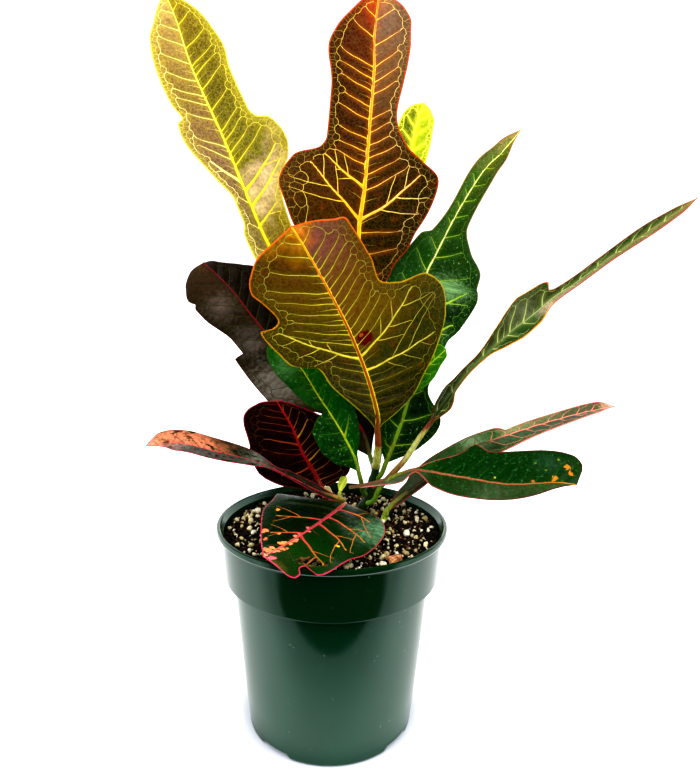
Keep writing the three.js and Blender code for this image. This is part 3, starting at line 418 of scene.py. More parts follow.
LOOKS = {
    "leaf_yellow_top_left": {
        "left": [(0, "#6d6639"), (0.2, "#746442"), (0.45, "#6f4a48"), (0.65, "#755832"), (0.85, "#9d7c4e"),
                 (1, "#bda067")],
        # On the right half the pale stops at 0.3 and 0.36 are a painted highlight on the lobe.
        "right": [(0, "#8d8138"), (0.13, "#6c5c1c"), (0.2, "#7c6a2c"), (0.3, "#d1b88e"), (0.36, "#a99176"),
                  (0.42, "#5e5a11"), (0.6, "#473f00"), (0.75, "#554700"), (0.9, "#695300"), (1, "#896c00")],
        "mottle": ("#623934", 0.4), "grain": ("#a8902b", 0.3), "rim": ("#b5a62b", 0.6),
        "net": ("#dccc34", 0.22), "glow": ("#a89818", 0.5), "under": "#a8985a",
        "midrib": [(0, "#e8dc18"), (0.5, "#f0e03c"), (1, "#f0e084")], "midrib_side": "#e8dc20",
        "vein": [(0, "#f0e080"), (1, "#f0e4a4")], "vein_right": [(0, "#e4d820"), (1, "#e0d458")],
        "margin": [(0, "#d8c848"), (1, "#ecd858")], "margin_width": 0.8,
        "stalk": [(0, "#9a9a30"), (1, "#d8d420")], "faint": 0.3, "vein_size": 0.95, "branches": (0.6,),
        "spots": [(57, -24, 1.6, "#7c1c34"), (42.5, 38.5, 1.4, "#7c1c30")],
    },
    "leaf_bronze_top": {
        "left": [(0, "#241501"), (0.25, "#421f01"), (0.5, "#330b01"), (0.7, "#3f0d01"), (0.84, "#5c1801"),
                 (0.93, "#a03404"), (1, "#f06010")],
        # On the right half the mauve-grey stop at 0.88 is a painted highlight.
        "right": [(0, "#090601"), (0.25, "#170e01"), (0.4, "#301902"), (0.52, "#502c12"), (0.7, "#6e4c2f"),
                  (0.88, "#7c6050"), (0.95, "#a96c43"), (1, "#c67743")],
        "mottle": ("#a64105", 0.15), "grain": ("#562b05", 0.25), "rim": ("#311d04", 0.3),
        "net": ("#84700f", 0.22), "glow": ("#a8540a", 0.5), "under": "#7a6030",
        "midrib": [(0, "#ffe018"), (0.3, "#ffb428"), (0.7, "#ff8c38"), (1, "#ff6440")],
        "midrib_side": "#fff00c", "vein": [(0, "#f0c828"), (0.6, "#ecd44c"), (1, "#c4ac44")],
        "vein_right": [(0, "#f0cc40"), (0.6, "#f0d878"), (1, "#d4bc78")],
        "vein_base": ("#7c5008", -0.05, 0.25),
        "margin": [(0, "#8c3008"), (0.5, "#b4480c"), (0.9, "#c44020"), (1, "#d44c30")], "margin_width": 0.8,
        "stalk": [(0, "#c8a828"), (1, "#f0c818")], "loops": 1.2, "rib_size": 1.3, "vein_size": 0.85,
    },
    "leaf_olive_front": {
        "left": [(0, "#061701"), (0.15, "#102101"), (0.3, "#262501"), (0.5, "#473903"), (0.65, "#604308"),
                 (0.8, "#532f04"), (0.92, "#a36902"), (1, "#e99b08")],
        "right": [(0, "#000901"), (0.15, "#011101"), (0.3, "#2d3301"), (0.5, "#725309"), (0.68, "#77471f"),
                  (0.84, "#854b4a"), (0.94, "#c36e2a"), (1, "#ffa139")],
        "mottle": ("#692904", 0.35), "grain": ("#594a09", 0.25), "rim": ("#3a3904", 0.3),
        "net": ("#7c7418", 0.2), "glow": ("#7c7008", 0.36), "under": "#7a7030",
        "midrib": [(0, "#7c4c14"), (0.15, "#a84c18"), (0.55, "#b43c14"), (0.8, "#f07c20"), (1, "#ffb028")],
        "midrib_side": "#fff010", "vein": [(0, "#f0e048"), (0.6, "#dcd050"), (1, "#aca848")],
        "vein_base": ("#5c540c", 0.0, 0.55),
        "margin": [(0, "#909818"), (0.4, "#b09414"), (0.7, "#d07018"), (1, "#e8601c")], "margin_width": 0.7,
        "stalk": [(0, "#8c7c3c"), (0.08, "#b8bc60"), (0.36, "#b0b450"), (0.44, "#8c4420"), (0.8, "#8c5018"),
                  (1, "#8c5820")],
        "weak": 0.8, "rib_size": 1.3, "vein_size": 0.72, "branches": (0.3, 0.38, 0.52, 0.62, 0.8),
        "spots": [(44, 7.5, 5.2, "#5c0406"), (46, 6, 1.3, "#a8501c")],
    },
    "leaf_lime_back": {
        "left": [(0, "#294f01"), (0.5, "#2c5002"), (0.85, "#345002"), (1, "#706c08")],
        "right": [(0, "#ffff22"), (0.45, "#ffff26"), (0.6, "#9cb310"), (0.85, "#9caf10"), (1, "#fada22")],
        "mottle": ("#235d03", 0.6), "grain": ("#d0c424", 0.2), "rim": ("#a8af12", 0.5),
        "net": ("#c8d428", 0.35), "glow": ("#f4f41c", 0.6), "under": "#a8b850",
        "midrib": [(0, "#ffff48"), (1, "#ffff60")], "midrib_side": "#fcfc30",
        "vein": [(0, "#ffff48"), (1, "#fcfc60")], "margin": [(0, "#f4f440"), (1, "#f8f850")],
        "margin_width": 0.9, "stalk": [(0, "#98a830"), (1, "#d8e030")], "faint": 0.2, "vein_size": 1.3,
    },
    "leaf_green_tall_right": {
        "left": [(0, "#011901"), (0.2, "#052e01"), (0.4, "#094101"), (0.6, "#214d02"), (0.8, "#485e09"),
                 (1, "#ad8f50")],
        "right": [(0, "#000d01"), (0.2, "#010d01"), (0.36, "#010901"), (0.5, "#0e2f01"), (0.65, "#274301"),
                  (0.85, "#494b01"), (1, "#9c6f08")],
        "mottle": ("#285e09", 0.3), "grain": ("#1f4b07", 0.25), "rim": ("#173802", 0.3),
        "net": ("#1c4c0c", 0.3), "glow": ("#4c8010", 0.35), "under": "#5c7c44",
        "midrib": [(0, "#6c8418"), (0.4, "#a8b03c"), (0.5, "#f4e0a0"), (1, "#f4e48c")],
        "midrib_side": "#6c9c28", "vein": [(0, "#b4c034"), (0.7, "#88a428"), (1, "#4c7810")],
        "margin": [(0, "#1c3c06"), (0.45, "#4c5408"), (0.75, "#8c7010"), (1, "#b45c2c")],
        "stalk": [(0, "#5c7820"), (1, "#8c9c30")], "weak": 0.8, "loops": 0.45, "faint": 1.2,
        "branches": (0.6,),
        "painted_sheen": [(45, 20, 17, "#88b474", 0.75), (33, 14, 12, "#4c7c3c", 0.6), (60, -6, 10, "#4c7030", 0.5)],
        "flecks": ("#6c9460", 0.62, 0.6, 0.6),
    },
    "leaf_slim_far_right": {
        "left": [(0, "#020601"), (0.2, "#0c1203"), (0.35, "#2a2d12"), (0.46, "#343817"), (0.55, "#22280c"),
                 (0.75, "#222c0e"), (1, "#3f401e")],
        "right": [(0, "#1a0f05"), (0.22, "#232d08"), (0.4, "#143b03"), (0.47, "#23470a"), (0.53, "#927f74"),
                  (0.62, "#827360"), (0.75, "#6b6348"), (1, "#7c6044")],
        "mottle": ("#5d6b43", 0.2), "grain": ("#455028", 0.25), "rim": ("#505632", 0.15),
        "net": ("#4c5c30", 0.25), "glow": ("#7c8c48", 0.4), "under": "#b89c88",
        "midrib": [(0, "#1c2c0c"), (0.3, "#4c5c2c"), (0.5, "#9ca474"), (0.7, "#7c8058"), (1, "#b0805c")],
        "midrib_side": "#4c5c30", "vein": [(0, "#ccd484"), (1, "#a0a858")],
        "margin": [(0, "#7c4418"), (0.25, "#c8741c"), (0.33, "#ff8c08"), (0.46, "#ff8c08"),
                   (0.55, "#b05448"), (1, "#b04838")],
        "stalk": [(0, "#3c4c18"), (0.14, "#6c4420"), (0.36, "#8c6c34"), (0.46, "#b4b870"), (0.62, "#a8a458"),
                  (0.68, "#7c3c20"), (0.76, "#5c3418"), (0.84, "#243808"), (1, "#1c3408")],
        "gloss": 0.12, "weak": 0.6, "loops": 0.4, "faint": 1.1, "rib_size": 0.7,
        # Its second, small patch is the pale underside of a turned-over flap of the blade, a colour of its
        # own; the first is a painted highlight.
        "painted_sheen": [(42, -10, 16, "#6c7058", 0.6), (50, 5, 6, "#c8ac94", 0.9)],
    },
    "leaf_pink_low_right": {
        "left": [(0, "#2a2e22"), (0.12, "#3a4937"), (0.3, "#1d4918"), (0.5, "#255222"), (0.56, "#848b5f"),
                 (0.8, "#52593e"), (0.93, "#595740"), (0.97, "#cfa688"), (1, "#e8c7a9")],
        "right": [(0, "#161209"), (0.2, "#071e06"), (0.45, "#072b06"), (0.54, "#41573c"), (0.8, "#4d554b"),
                  (0.93, "#766d61"), (0.97, "#f9cdc7"), (1, "#f9eae8")],
        "mottle": ("#526648", 0.2), "grain": ("#5b6044", 0.2), "rim": ("#60644e", 0.2),
        "net": ("#4c5038", 0.2), "glow": ("#5c4c3c", 0.2), "under": "#b8a898",
        "midrib": [(0, "#3c2814"), (0.45, "#2c4418"), (0.56, "#e08470"), (1, "#f09c88")],
        "midrib_side": "#4c3c28", "vein": [(0, "#f08c74"), (1, "#c88c64")],
        "vein_base": ("#24481c", 0.38, 0.55),
        "margin": [(0, "#6c3020"), (0.4, "#7c3c28"), (0.55, "#e07468"), (1, "#f08c7c")], "margin_width": 0.8,
        "stalk": [(0, "#7c8c30"), (1, "#5c4428")], "gloss": 0.12, "weak": 0.8, "loops": 0.7,
        "painted_sheen": [(40, -6, 16, "#7c8c6c", 0.7)],
    },
    "leaf_green_low_right": {
        "left": [(0, "#2f5410"), (0.3, "#184204"), (0.38, "#012b00"), (0.7, "#012b00"), (0.92, "#072c00"),
                 (1, "#1b3500")],
        # The pale grey-green right half, which hangs below the midrib, is a painted reflection of the white
        # floor.
        "right": [(0, "#524f3f"), (0.3, "#444b33"), (0.4, "#19310e"), (0.6, "#273715"), (0.85, "#384724"),
                  (1, "#444f28")],
        "mottle": ("#1f460c", 0.15), "grain": ("#0d3a04", 0.2), "rim": ("#0a3203", 0.2),
        "net": ("#0c380c", 0.15), "glow": ("#10440c", 0.2), "under": "#6c7860",
        "midrib": [(0, "#5c3c30"), (0.3, "#7c4434"), (0.45, "#a05840"), (0.85, "#a85830"), (1, "#d08828")],
        "midrib_side": "#6c5030", "vein": [(0, "#1c4c10"), (1, "#1c4c10")],
        "margin": [(0, "#c07068"), (0.35, "#9c4c44"), (0.6, "#641c18"), (1, "#440e0a")],
        "stalk": [(0, "#5c8c18"), (0.5, "#6c8c24"), (1, "#6c4c2c")], "loops": 0.3, "vein_lift": 0.3,
        "painted_sheen": [(60, 16, 16, "#6c7c60", 0.3), (84, -14, 10, "#3c5c48", 0.3)],
        "flecks": ("#2c5c34", 0.6, 0.4, 0.6),
        "spots": [(92, -12, 1.8, "#a8700c"), (95, -8, 1.5, "#b06c0c"), (90, -3, 2.0, "#a87018"),
                  (82, -1.5, 1.2, "#8c5c20"), (65, -4, 0.7, "#a09c20"), (87, -17, 0.9, "#687418"),
                  (79, -15, 0.8, "#4c6c14"), (85, -9, 0.8, "#687018")],
        "spot_shape": 2.6,
    },
    "leaf_dark_left": {
        # On the left half the lighter stops at 0.2 and 0.4 are a painted satin highlight.
        "left": [(0, "#312709"), (0.2, "#3f2d15"), (0.4, "#45341e"), (0.55, "#170f05"), (0.75, "#28190a"),
                 (0.92, "#3a2412"), (1, "#4a311b")],
        "right": [(0, "#120503"), (0.4, "#0e0302"), (0.7, "#0b0302"), (0.9, "#160403"), (1, "#260906")],
        "mottle": ("#3c351d", 0.35), "grain": ("#261d0c", 0.3), "rim": ("#180c04", 0.3),
        "net": ("#28280c", 0.3), "glow": ("#1c1408", 0.3), "under": "#3c2428",
        "midrib": [(0, "#98101c"), (0.3, "#840c14"), (0.5, "#700a10"), (1, "#7c1014")],
        "midrib_side": "#4c0c0c", "vein": [(0, "#3c2c14"), (0.5, "#3c3c18"), (1, "#303414")],
        "margin": [(0, "#281410"), (0.6, "#480c08"), (1, "#38140c")], "margin_width": 0.5,
        "stalk": [(0, "#5c7c20"), (1, "#5c2c20")], "weak": 0.6, "loops": 0.3, "faint": 1.2,
        "painted_sheen": [(40, -22, 24, "#807c72", 0.85), (60, -14, 15, "#5c5248", 0.8),
                  (76, -16, 15, "#5c5046", 0.8)],
    },
    "leaf_maroon_low_left": {
        "left": [(0, "#041103"), (0.3, "#010201"), (0.7, "#000101"), (1, "#030102")],
        "right": [(0, "#100a04"), (0.3, "#060101"), (0.7, "#060101"), (1, "#200204")],
        "mottle": ("#3a0907", 0.08), "grain": ("#060302", 0.25), "rim": ("#040302", 0.3),
        "net": ("#380c08", 0.3), "glow": ("#5c080c", 0.15), "under": "#4c1c24",
        "midrib": [(0, "#700c14"), (0.6, "#98101c"), (1, "#a81420")], "midrib_side": "#8c0814",
        "vein": [(0, "#8c3014"), (0.5, "#905018"), (1, "#7c5018")],
        "vein_right": [(0, "#b88820"), (0.6, "#a87420"), (1, "#7c5018")],
        "margin": [(0, "#5c2010"), (0.5, "#6c1020"), (1, "#98142c")], "margin_width": 0.7,
        "stalk": [(0, "#b0b84c"), (1, "#6c1c20")], "gloss": 0.1, "weak": 0.75, "loops": 0.55, "faint": 1.1,
        "rib_size": 1.3, "vein_size": 0.65, "branches": (),
    },
    "leaf_green_mid": {
        "left": [(0, "#022302"), (0.4, "#053a02"), (0.6, "#155405"), (0.85, "#206806"), (1, "#195706")],
        "right": [(0, "#034401"), (0.4, "#056001"), (0.7, "#057101"), (1, "#057101")],
        "mottle": ("#338218", 0.25), "grain": ("#0e5307", 0.3), "rim": ("#0a4004", 0.3),
        "net": ("#0c440c", 0.25), "glow": ("#246c08", 0.3), "under": "#4c7c40",
        "midrib": [(0, "#90b42c"), (0.4, "#c8d028"), (1, "#e4dc38")], "midrib_side": "#6c9418",
        "vein": [(0, "#b8c820"), (0.5, "#5c8c14"), (1, "#144808")],
        "margin": [(0, "#104408"), (1, "#2c5c14")], "margin_width": 0.5,
        "stalk": [(0, "#3c5c14"), (0.4, "#4c6c18"), (1, "#90a434")], "weak": 0.5, "loops": 0.2, "faint": 1.3,
        "rib_size": 0.8, "vein_size": 0.75, "branches": (),
        "painted_sheen": [(78, -9, 11, "#6c9c64", 0.7), (60, -8, 10, "#2c6c24", 0.6), (30, 12, 10, "#2c6c30", 0.5)],
        "flecks": ("#5c8c50", 0.6, 0.5, 0.5),
    },
    "leaf_orange_tip_left": {
        "left": [(0, "#081006"), (0.35, "#141c10"), (0.5, "#3c443c"), (0.75, "#545450"), (0.85, "#8c7870"),
                 (0.93, "#d08468"), (1, "#e09478")],
        "right": [(0, "#071104"), (0.4, "#0a1809"), (0.54, "#1b2212"), (0.62, "#8b5738"), (0.7, "#ca7b59"),
                  (0.9, "#d38966"), (1, "#e2a18b")],
        "mottle": ("#111e11", 0.9), "grain": ("#40453f", 0.25), "rim": ("#2f2d21", 0.2),
        "net": ("#5c3c2c", 0.2), "glow": ("#3c2018", 0.1), "under": "#8c8480",
        "midrib": [(0, "#8c1028"), (0.5, "#b42440"), (1, "#e85c6c")], "midrib_side": "#8c2c34",
        "vein": [(0, "#5c3c30"), (1, "#6c4438")],
        "margin": [(0, "#8c1028"), (0.5, "#a82040"), (1, "#c83c58")], "margin_width": 0.35,
        "stalk": [(0, "#a09840"), (1, "#5c2420")], "weak": 0.2, "loops": 0.3, "faint": 1.2, "rib_size": 0.4,
        "vein_size": 0.6, "painted_sheen": [(44, 4, 14, "#7c8478", 0.6)], "flecks": ("#10200c", 0.56, 0.14, 0.4),
    },
    "leaf_low_front": {
        "left": [(0, "#000700"), (0.2, "#011400"), (0.5, "#072c02"), (0.75, "#0f3a06"), (0.9, "#1c3408"),
                 (1, "#6c5f29")],
        "right": [(0, "#000401"), (0.3, "#000d01"), (0.6, "#011401"), (0.85, "#031a03"), (0.95, "#1a1b08"),
                  (1, "#714641")],
        "mottle": ("#0f380c", 0.3), "grain": ("#042c03", 0.25), "rim": ("#032403", 0.25),
        "net": ("#0e3408", 0.2), "glow": ("#1c3c10", 0.25), "under": "#5c4c40",
        "midrib": [(0, "#8c1c30"), (0.5, "#b03848"), (0.85, "#d87058"), (1, "#f0947c")],
        "midrib_side": "#a8404c", "vein": [(0, "#b43040"), (0.45, "#c06430"), (1, "#a88028")],
        "margin": [(0, "#7c4830"), (0.3, "#8c3434"), (0.6, "#b42c50"), (1, "#d03c64")],
        "stalk": [(0, "#98a040"), (1, "#9c3444")], "gloss": 0.1, "weak": 0.3, "loops": 0.25, "faint": 1.3,
        "rib_size": 1.3, "vein_size": 0.85, "branches": (0.55, 0.75),
        "painted_sheen": [(20, -36, 22, "#6c9470", 0.85), (8, -8, 10, "#2c3c2c", 0.5)],
        "spots": [(88, 3, 3.5, "#ff8c5c"), (74, 2.5, 2.4, "#ff8c54"), (80, -3, 2.6, "#ff8858"),
                  (60, 12, 1.3, "#e8a030"), (45, -26, 1.2, "#d8b020"), (30, 30, 1.6, "#e0902c"),
                  (94, -7, 2.4, "#f06c78"), (57, 21.5, 2.4, "#f08858"), (68, -2, 1.8, "#f07858"),
                  (69, 14, 1.5, "#e87850"), (62, 1.5, 1.6, "#f08860"), (52, -1.5, 1.4, "#e07058"),
                  (97, 2, 2.6, "#ff9c7c"), (57, 2.2, 1.4, "#f07c58"), (65, -2.4, 1.4, "#f0885c"),
                  (72, -2.6, 1.5, "#ff9458"), (84, 3.2, 2.0, "#ff9c60"), (86, -3, 1.8, "#ff945c"),
                  (48, 1.8, 1.2, "#e06858")],
        "spot_shape": 3.0, "holes": [(72, -27, 5.0), (66, -34, 2.8), (62, 24, 2.6)],
    },
    "leaf_small_right": {
        "left": [(0, "#0c4404"), (1, "#2c7008")], "right": [(0, "#0c4404"), (1, "#246408")],
        "mottle": ("#5c9414", 0.3), "grain": ("#3c7c10", 0.2), "rim": ("#3c8010", 0.4),
        "net": ("#3c8010", 0.3), "glow": ("#5c940c", 0.4), "under": "#5c8c30",
        "midrib": [(0, "#90b42c"), (1, "#a8cc38")], "midrib_side": "#6c9c1c",
        "vein": [(0, "#98c02c"), (1, "#6ca01c")], "margin": [(0, "#4c8c14"), (1, "#64981c")],
        "margin_width": 0.4, "stalk": [(0, "#5c8c20"), (1, "#7cac2c")], "loops": 0.4,
    },
    "bud_left": {
        "left": [(0, "#a0ac38"), (1, "#a8c030")], "right": [(0, "#a0ac38"), (1, "#b0c838")],
        "mottle": ("#7c9c20", 0.4), "grain": ("#c0cc50", 0.3), "rim": ("#c0cc48", 0.4),
        "net": ("#b0c040", 0.2), "glow": ("#c8d458", 0.4), "under": "#a0b040",
        "midrib": [(0, "#c0cc58"), (1, "#c8d860")], "midrib_side": "#b0c040",
        "vein": [(0, "#c8d458"), (1, "#c8d458")], "margin": [(0, "#b0c040"), (1, "#b8c848")],
        "margin_width": 0.3, "stalk": [(0, "#a8b048"), (1, "#a8b840")],
    },
    "bract_left": {
        "left": [(0, "#8c7c50"), (1, "#c8b888")], "right": [(0, "#7c6c40"), (1, "#b8a878")],
        "mottle": ("#6c5c34", 0.5), "grain": ("#d8c898", 0.4), "rim": ("#d8c898", 0.4),
        "net": ("#8c7c50", 0.3), "glow": ("#a89860", 0.3), "under": "#a89868",
        "midrib": [(0, "#8c7c4c"), (1, "#a8986c")], "midrib_side": "#8c7c50",
        "vein": [(0, "#98885c"), (1, "#98885c")], "margin": [(0, "#c8b888"), (1, "#d8c8a0")],
        "margin_width": 0.3, "stalk": [(0, "#a89868"), (1, "#a89868")],
    },
}


# Curves

def unit(vectors):
    return vectors / np.linalg.norm(vectors, axis=-1, keepdims=True)


def hump(distance, width):
    """1 at no distance, and fading to nothing past the width."""
    return np.exp(-(distance / width) ** 2)


def turns(count):
    return [FULL_TURN * i / count for i in range(count)]


def smooth_value(pairs, places):
    """A smooth curve through pairs of place and value that never overshoots them."""
    x, y = np.array(pairs, float).T
    step = np.diff(x)
    rise = np.diff(y) / step
    slope = np.zeros(len(x))
    for i in range(1, len(x) - 1):
        if rise[i - 1] * rise[i] > 0:
            before = 2 * step[i] + step[i - 1]
            after = step[i] + 2 * step[i - 1]
            slope[i] = (before + after) / (before / rise[i - 1] + after / rise[i])
    slope[0], slope[-1] = rise[0], rise[-1]
    i = np.clip(np.searchsorted(x, places, side="right") - 1, 0, len(x) - 2)
    s = (np.asarray(places, float) - x[i]) / step[i]
    return ((2 * s ** 3 - 3 * s ** 2 + 1) * y[i] + (s ** 3 - 2 * s ** 2 + s) * step[i] * slope[i]
            + (3 * s ** 2 - 2 * s ** 3) * y[i + 1] + (s ** 3 - s ** 2) * step[i] * slope[i + 1])


def smooth_path(points, count):
    """Evenly spaced points on a uniform Catmull-Rom curve, and its length."""
    points = np.array(points, float)
    ends = np.vstack([2 * points[0] - points[1], points, 2 * points[-1] - points[-2]])
    t = np.linspace(0, 1, SPAN_SAMPLES, endpoint=False)[:, None]
    spans = [0.5 * (2 * b + (c - a) * t + (2 * a - 5 * b + 4 * c - d) * t ** 2
                    + (3 * b - a - 3 * c + d) * t ** 3)
             for a, b, c, d in zip(ends, ends[1:], ends[2:], ends[3:])]
    samples = np.vstack([*spans, points[-1:]])
    arc = np.concatenate([[0], np.cumsum(np.linalg.norm(np.diff(samples, axis=0), axis=1))])
    even = np.linspace(0, arc[-1], count)
    return np.column_stack([np.interp(even, arc, samples[:, axis]) for axis in range(3)]), arc[-1]


def nearest(places, place):
    """The one of some places that lies nearest to another place, and how far apart the two are."""
    if len(places) == 0:
        return None, FAR_AWAY
    gaps = np.linalg.norm(places - place, axis=1)
    return places[int(gaps.argmin())], gaps.min()


# Meshes

class Parts:
    """Gathers pieces of one mesh, with the values that its materials read at each point."""

    VALUES = ("along", "reach", "side", "glow", "edge", "rank", "across")

    def __init__(self):
        self.points, self.place, self.faces, self.slots = [], [], [], []
        self.values = {name: [] for name in self.VALUES}
        self.count = 0

    def add(self, points, faces, slot=0, place=None, **values):
        """Adds points and faces. slot is one material slot, or one for each face."""
        self.faces += [[i + self.count for i in face] for face in faces]
        self.slots += np.broadcast_to(slot, len(faces)).tolist()
        self.points.append(points)
        self.place.append(points if place is None else place)
        for name, store in self.values.items():
            store.append(np.broadcast_to(np.asarray(values.get(name, 0.0), float), len(points)))
        self.count += len(points)

    def make(self, name, materials):
        thing = plain_object(name, np.vstack(self.points), self.faces)
        mesh = thing.data
        for material in materials:
            mesh.materials.append(material)
        mesh.polygons.foreach_set("material_index", self.slots)
        mesh.polygons.foreach_set("use_smooth", [True] * len(self.faces))
        place = mesh.attributes.new("place", "FLOAT_VECTOR", "POINT")
        place.data.foreach_set("vector", np.vstack(self.place).ravel())
        for value, store in self.values.items():
            layer = mesh.attributes.new(value, "FLOAT", "POINT")
            layer.data.foreach_set("value", np.concatenate(store))
        mesh.update()
        return thing


def plain_object(name, points, faces):
    mesh = bpy.data.meshes.new(name)
    mesh.from_pydata((np.asarray(points) * MM).tolist(), [], faces)
    thing = bpy.data.objects.new(name, mesh)
    bpy.context.scene.collection.objects.link(thing)
    return thing


def finish_piece(thing, slot, *nodes):
    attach(thing, "root")
    if nodes:
        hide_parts(*nodes)


def tube(path, radii, sides):
    """Points and faces of a closed tube along a path, with frames that don't twist."""
    tangent = unit(np.gradient(path, axis=0))
    normal = unit(np.cross(tangent[0], TUBE_START))
    rings = []
    turn = np.linspace(0, FULL_TURN, sides, endpoint=False)[:, None]
    for point, direction, radius in zip(path, tangent, radii):
        normal = unit(normal - normal.dot(direction) * direction)
        binormal = np.cross(direction, normal)
        rings.append(point + radius * (np.cos(turn) * normal + np.sin(turn) * binormal))
    points = np.vstack(rings + [path[:1], path[-1:]])
    faces = []
    for ring in range(len(path) - 1):
        for side in range(sides):
            a, b = ring * sides + side, ring * sides + (side + 1) % sides
            faces.append([a, b, b + sides, a + sides])
    foot, top = len(points) - 2, len(points) - 1
    last = (len(path) - 1) * sides
    for side in range(sides):
        after = (side + 1) % sides
        faces.append([foot, after, side])
        faces.append([top, last + side, last + after])
    return points, faces


# Leaf surface, the same as in the CAD source

def loop_depth(room, part=1):
    """How deep the net of veins reaches in from the margin, where the blade is this wide."""
    return np.clip(part * LOOP_SHARE * room, LEAST_LOOP, part * LOOP_DEPTH)


class LeafSurface:
    """A midrib in space with two halves that stand out from it.

    A place is given by its percent along the midrib and its reach along a side vein, or by its flat
    distances along and out."""

    def __init__(self, spec):
        self.spec = spec
        self.middle, self.length = smooth_path(spec["midrib"], FRAMES)
        self.tangent = unit(np.gradient(self.middle, axis=0))
        faces = unit(np.array(spec["faces"], float))
        place = np.linspace(0, len(faces) - 1, FRAMES)
        first = np.minimum(place.astype(int), len(faces) - 2)
        s = (place - first)[:, None]
        s = s * s * (3 - 2 * s)
        face = faces[first] * (1 - s) + faces[first + 1] * s
        self.up = unit(face - (face * self.tangent).sum(1)[:, None] * self.tangent)
        self.across = np.cross(self.tangent, self.up)
        self.fold = math.radians(spec["fold"])
        percent = np.linspace(0, 100, OUTLINE_POINTS)
        self.outline = {side: np.column_stack(self.flat(percent, self.reach(percent, side)))
                        for side in SIDES}
        self.veins = {side: [self.side_vein(base, side) for base in self.of_side("veins", side)]
                      for side in SIDES}

    def of_side(self, key, side):
        """The left or the right one of a pair in the leaf's table."""
        return self.spec[key][SIDES.index(side)]

    def point(self, along, out, side, lift):
        inside = np.clip(along, 0, self.length)
        place = inside / self.length * (FRAMES - 1)
        first = np.minimum(place.astype(int), FRAMES - 2)
        part = (place - first)[:, None]
        middle, up, across, tangent = (values[first] * (1 - part) + values[first + 1] * part
                                       for values in (self.middle, self.up, self.across, self.tangent))
        middle = middle + tangent * (along - inside)[:, None]
        wave = self.spec["ripple"] * (out / WAVE_WIDTH) ** 2 * np.sin(along / WAVE_STEP + side)
        over = side * (out * math.cos(self.fold) - lift * math.sin(self.fold))
        height = out * math.sin(self.fold) + wave + lift * math.cos(self.fold)
        return middle + across * over[:, None] + up * height[:, None]

    def vein_angle(self, percent):
        return np.radians(np.interp(percent, (0, 50, 100), self.spec["fan"]))

    def reach(self, percent, side):
        """How far the blade reaches along a side vein to its margin."""
        pairs = self.spec["left" if side == LEFT else "right"]
        return np.maximum(smooth_value(pairs, np.clip(percent, 0, 100)), TIP_WIDTH)

    def flat(self, percent, reach):
        """The flat distances along and out of a place that is given by its percent and reach."""
        angle = self.vein_angle(percent)
        return percent * self.length / 100 + reach * np.cos(angle), reach * np.sin(angle)

    def spot(self, percent, reach):
        """One place as flat distances. reach and the distance out are negative on the left."""
        along, out = self.flat(float(percent), abs(float(reach)))
        return float(along), math.copysign(float(out), reach)

    def vein_place(self, along, out):
        """The percent and reach of a place that is given by its distances along and out."""
        percent = 100 * along / self.length
        for _ in range(PLACE_ROUNDS):
            angle = self.vein_angle(percent)
            percent = 100 * (along - out / np.tan(angle)) / self.length
        return percent, out / np.sin(angle)

    def side_vein(self, base, side):
        """Where a side vein runs: its percent at each reach, up to the loops near the margin."""
        full = float(self.reach(base, side))
        reach = np.linspace(0, VEIN_OVERRUN * full, VEIN_SAMPLES)
        vein = {"base": base, "full": full, "lean": np.interp(base, *zip(*self.of_side("lean", side))),
                "strong": base in self.of_side("strong", side)}
        room = self.reach(self.vein_percent(vein, reach), side)
        uneven = 1 + END_UNEVEN * math.sin(base * END_PACE + side)
        inside = reach < room - loop_depth(room) * uneven
        end = len(reach) if inside.all() else int(np.argmin(inside))
        vein["end"] = float(reach[max(end - 1, 1)])
        return vein

    def vein_percent(self, vein, reach):
        """Side veins leave the midrib more squarely than the rows of the outline, and bend to the tip."""
        bend = VEIN_BEND * reach ** 2 / vein["full"] - vein["lean"] * reach
        return vein["base"] + 100 * bend / self.length

    def vein_line(self, vein, reach):
        """A side vein as flat places."""
        return np.column_stack(self.flat(self.vein_percent(vein, reach), reach))

    def vein_distance(self, percent, reach, side):
        """How far a place is from the nearest side vein."""
        distance = np.full(len(percent), FAR_AWAY)
        lean = np.sin(self.vein_angle(percent))
        for vein in self.veins[side]:
            gap = np.abs(percent - self.vein_percent(vein, reach)) * self.length / 100 * lean
            distance = np.minimum(distance, np.hypot(gap, np.maximum(reach - vein["end"], 0)))
        return distance

    def margin_distance(self, along, out, side):
        line = self.outline[side]
        return np.sqrt(((along[:, None] - line[:, 0]) ** 2 + (out[:, None] - line[:, 1]) ** 2).min(1))

    def details(self, along, out, side):
        """Distances at a place, and how far its upper and lower faces lie from the middle of the blade."""
        percent, reach = self.vein_place(along, out)
        vein = self.vein_distance(percent, reach, side)
        edge = self.margin_distance(along, out, side)
        near = np.clip(edge / EDGE_WIDTH, 0, 1)
        thickness = EDGE_THICKNESS + (HALF_THICKNESS - EDGE_THICKNESS) * near * (2 - near)
        quilt = QUILT_DEPTH * hump(vein, QUILT_WIDTH) * near
        rib = RIB_RISE * hump(out, RIB_SPREAD)
        fade = hump(reach, GLOW_REACH * np.maximum(self.reach(percent, side), 1))
        glow = hump(vein, GLOW_WIDTH) * (GLOW_FLOOR + (1 - GLOW_FLOOR) * fade)
        return {"percent": percent, "reach": reach, "edge": edge,
                "glow": np.maximum(glow, hump(out, RIB_GLOW_WIDTH)),
                "upper": thickness - quilt - rib,
                "lower": -thickness - quilt * UNDER_QUILT - rib * UNDER_RIB}


def blade_columns(spec):
    """Places across a blade from -1 to 1, with one more beside each margin."""
    widest = max(reach for _, reach in spec["left"] + spec["right"])
    steps = max(int(widest / GRID_STEP), FEWEST_COLUMNS)
    half = np.concatenate([np.linspace(0, 1, steps + 1)[:-1], [1 - EDGE_COLUMN / steps, 1]])
    return np.concatenate([-half[:0:-1], half])


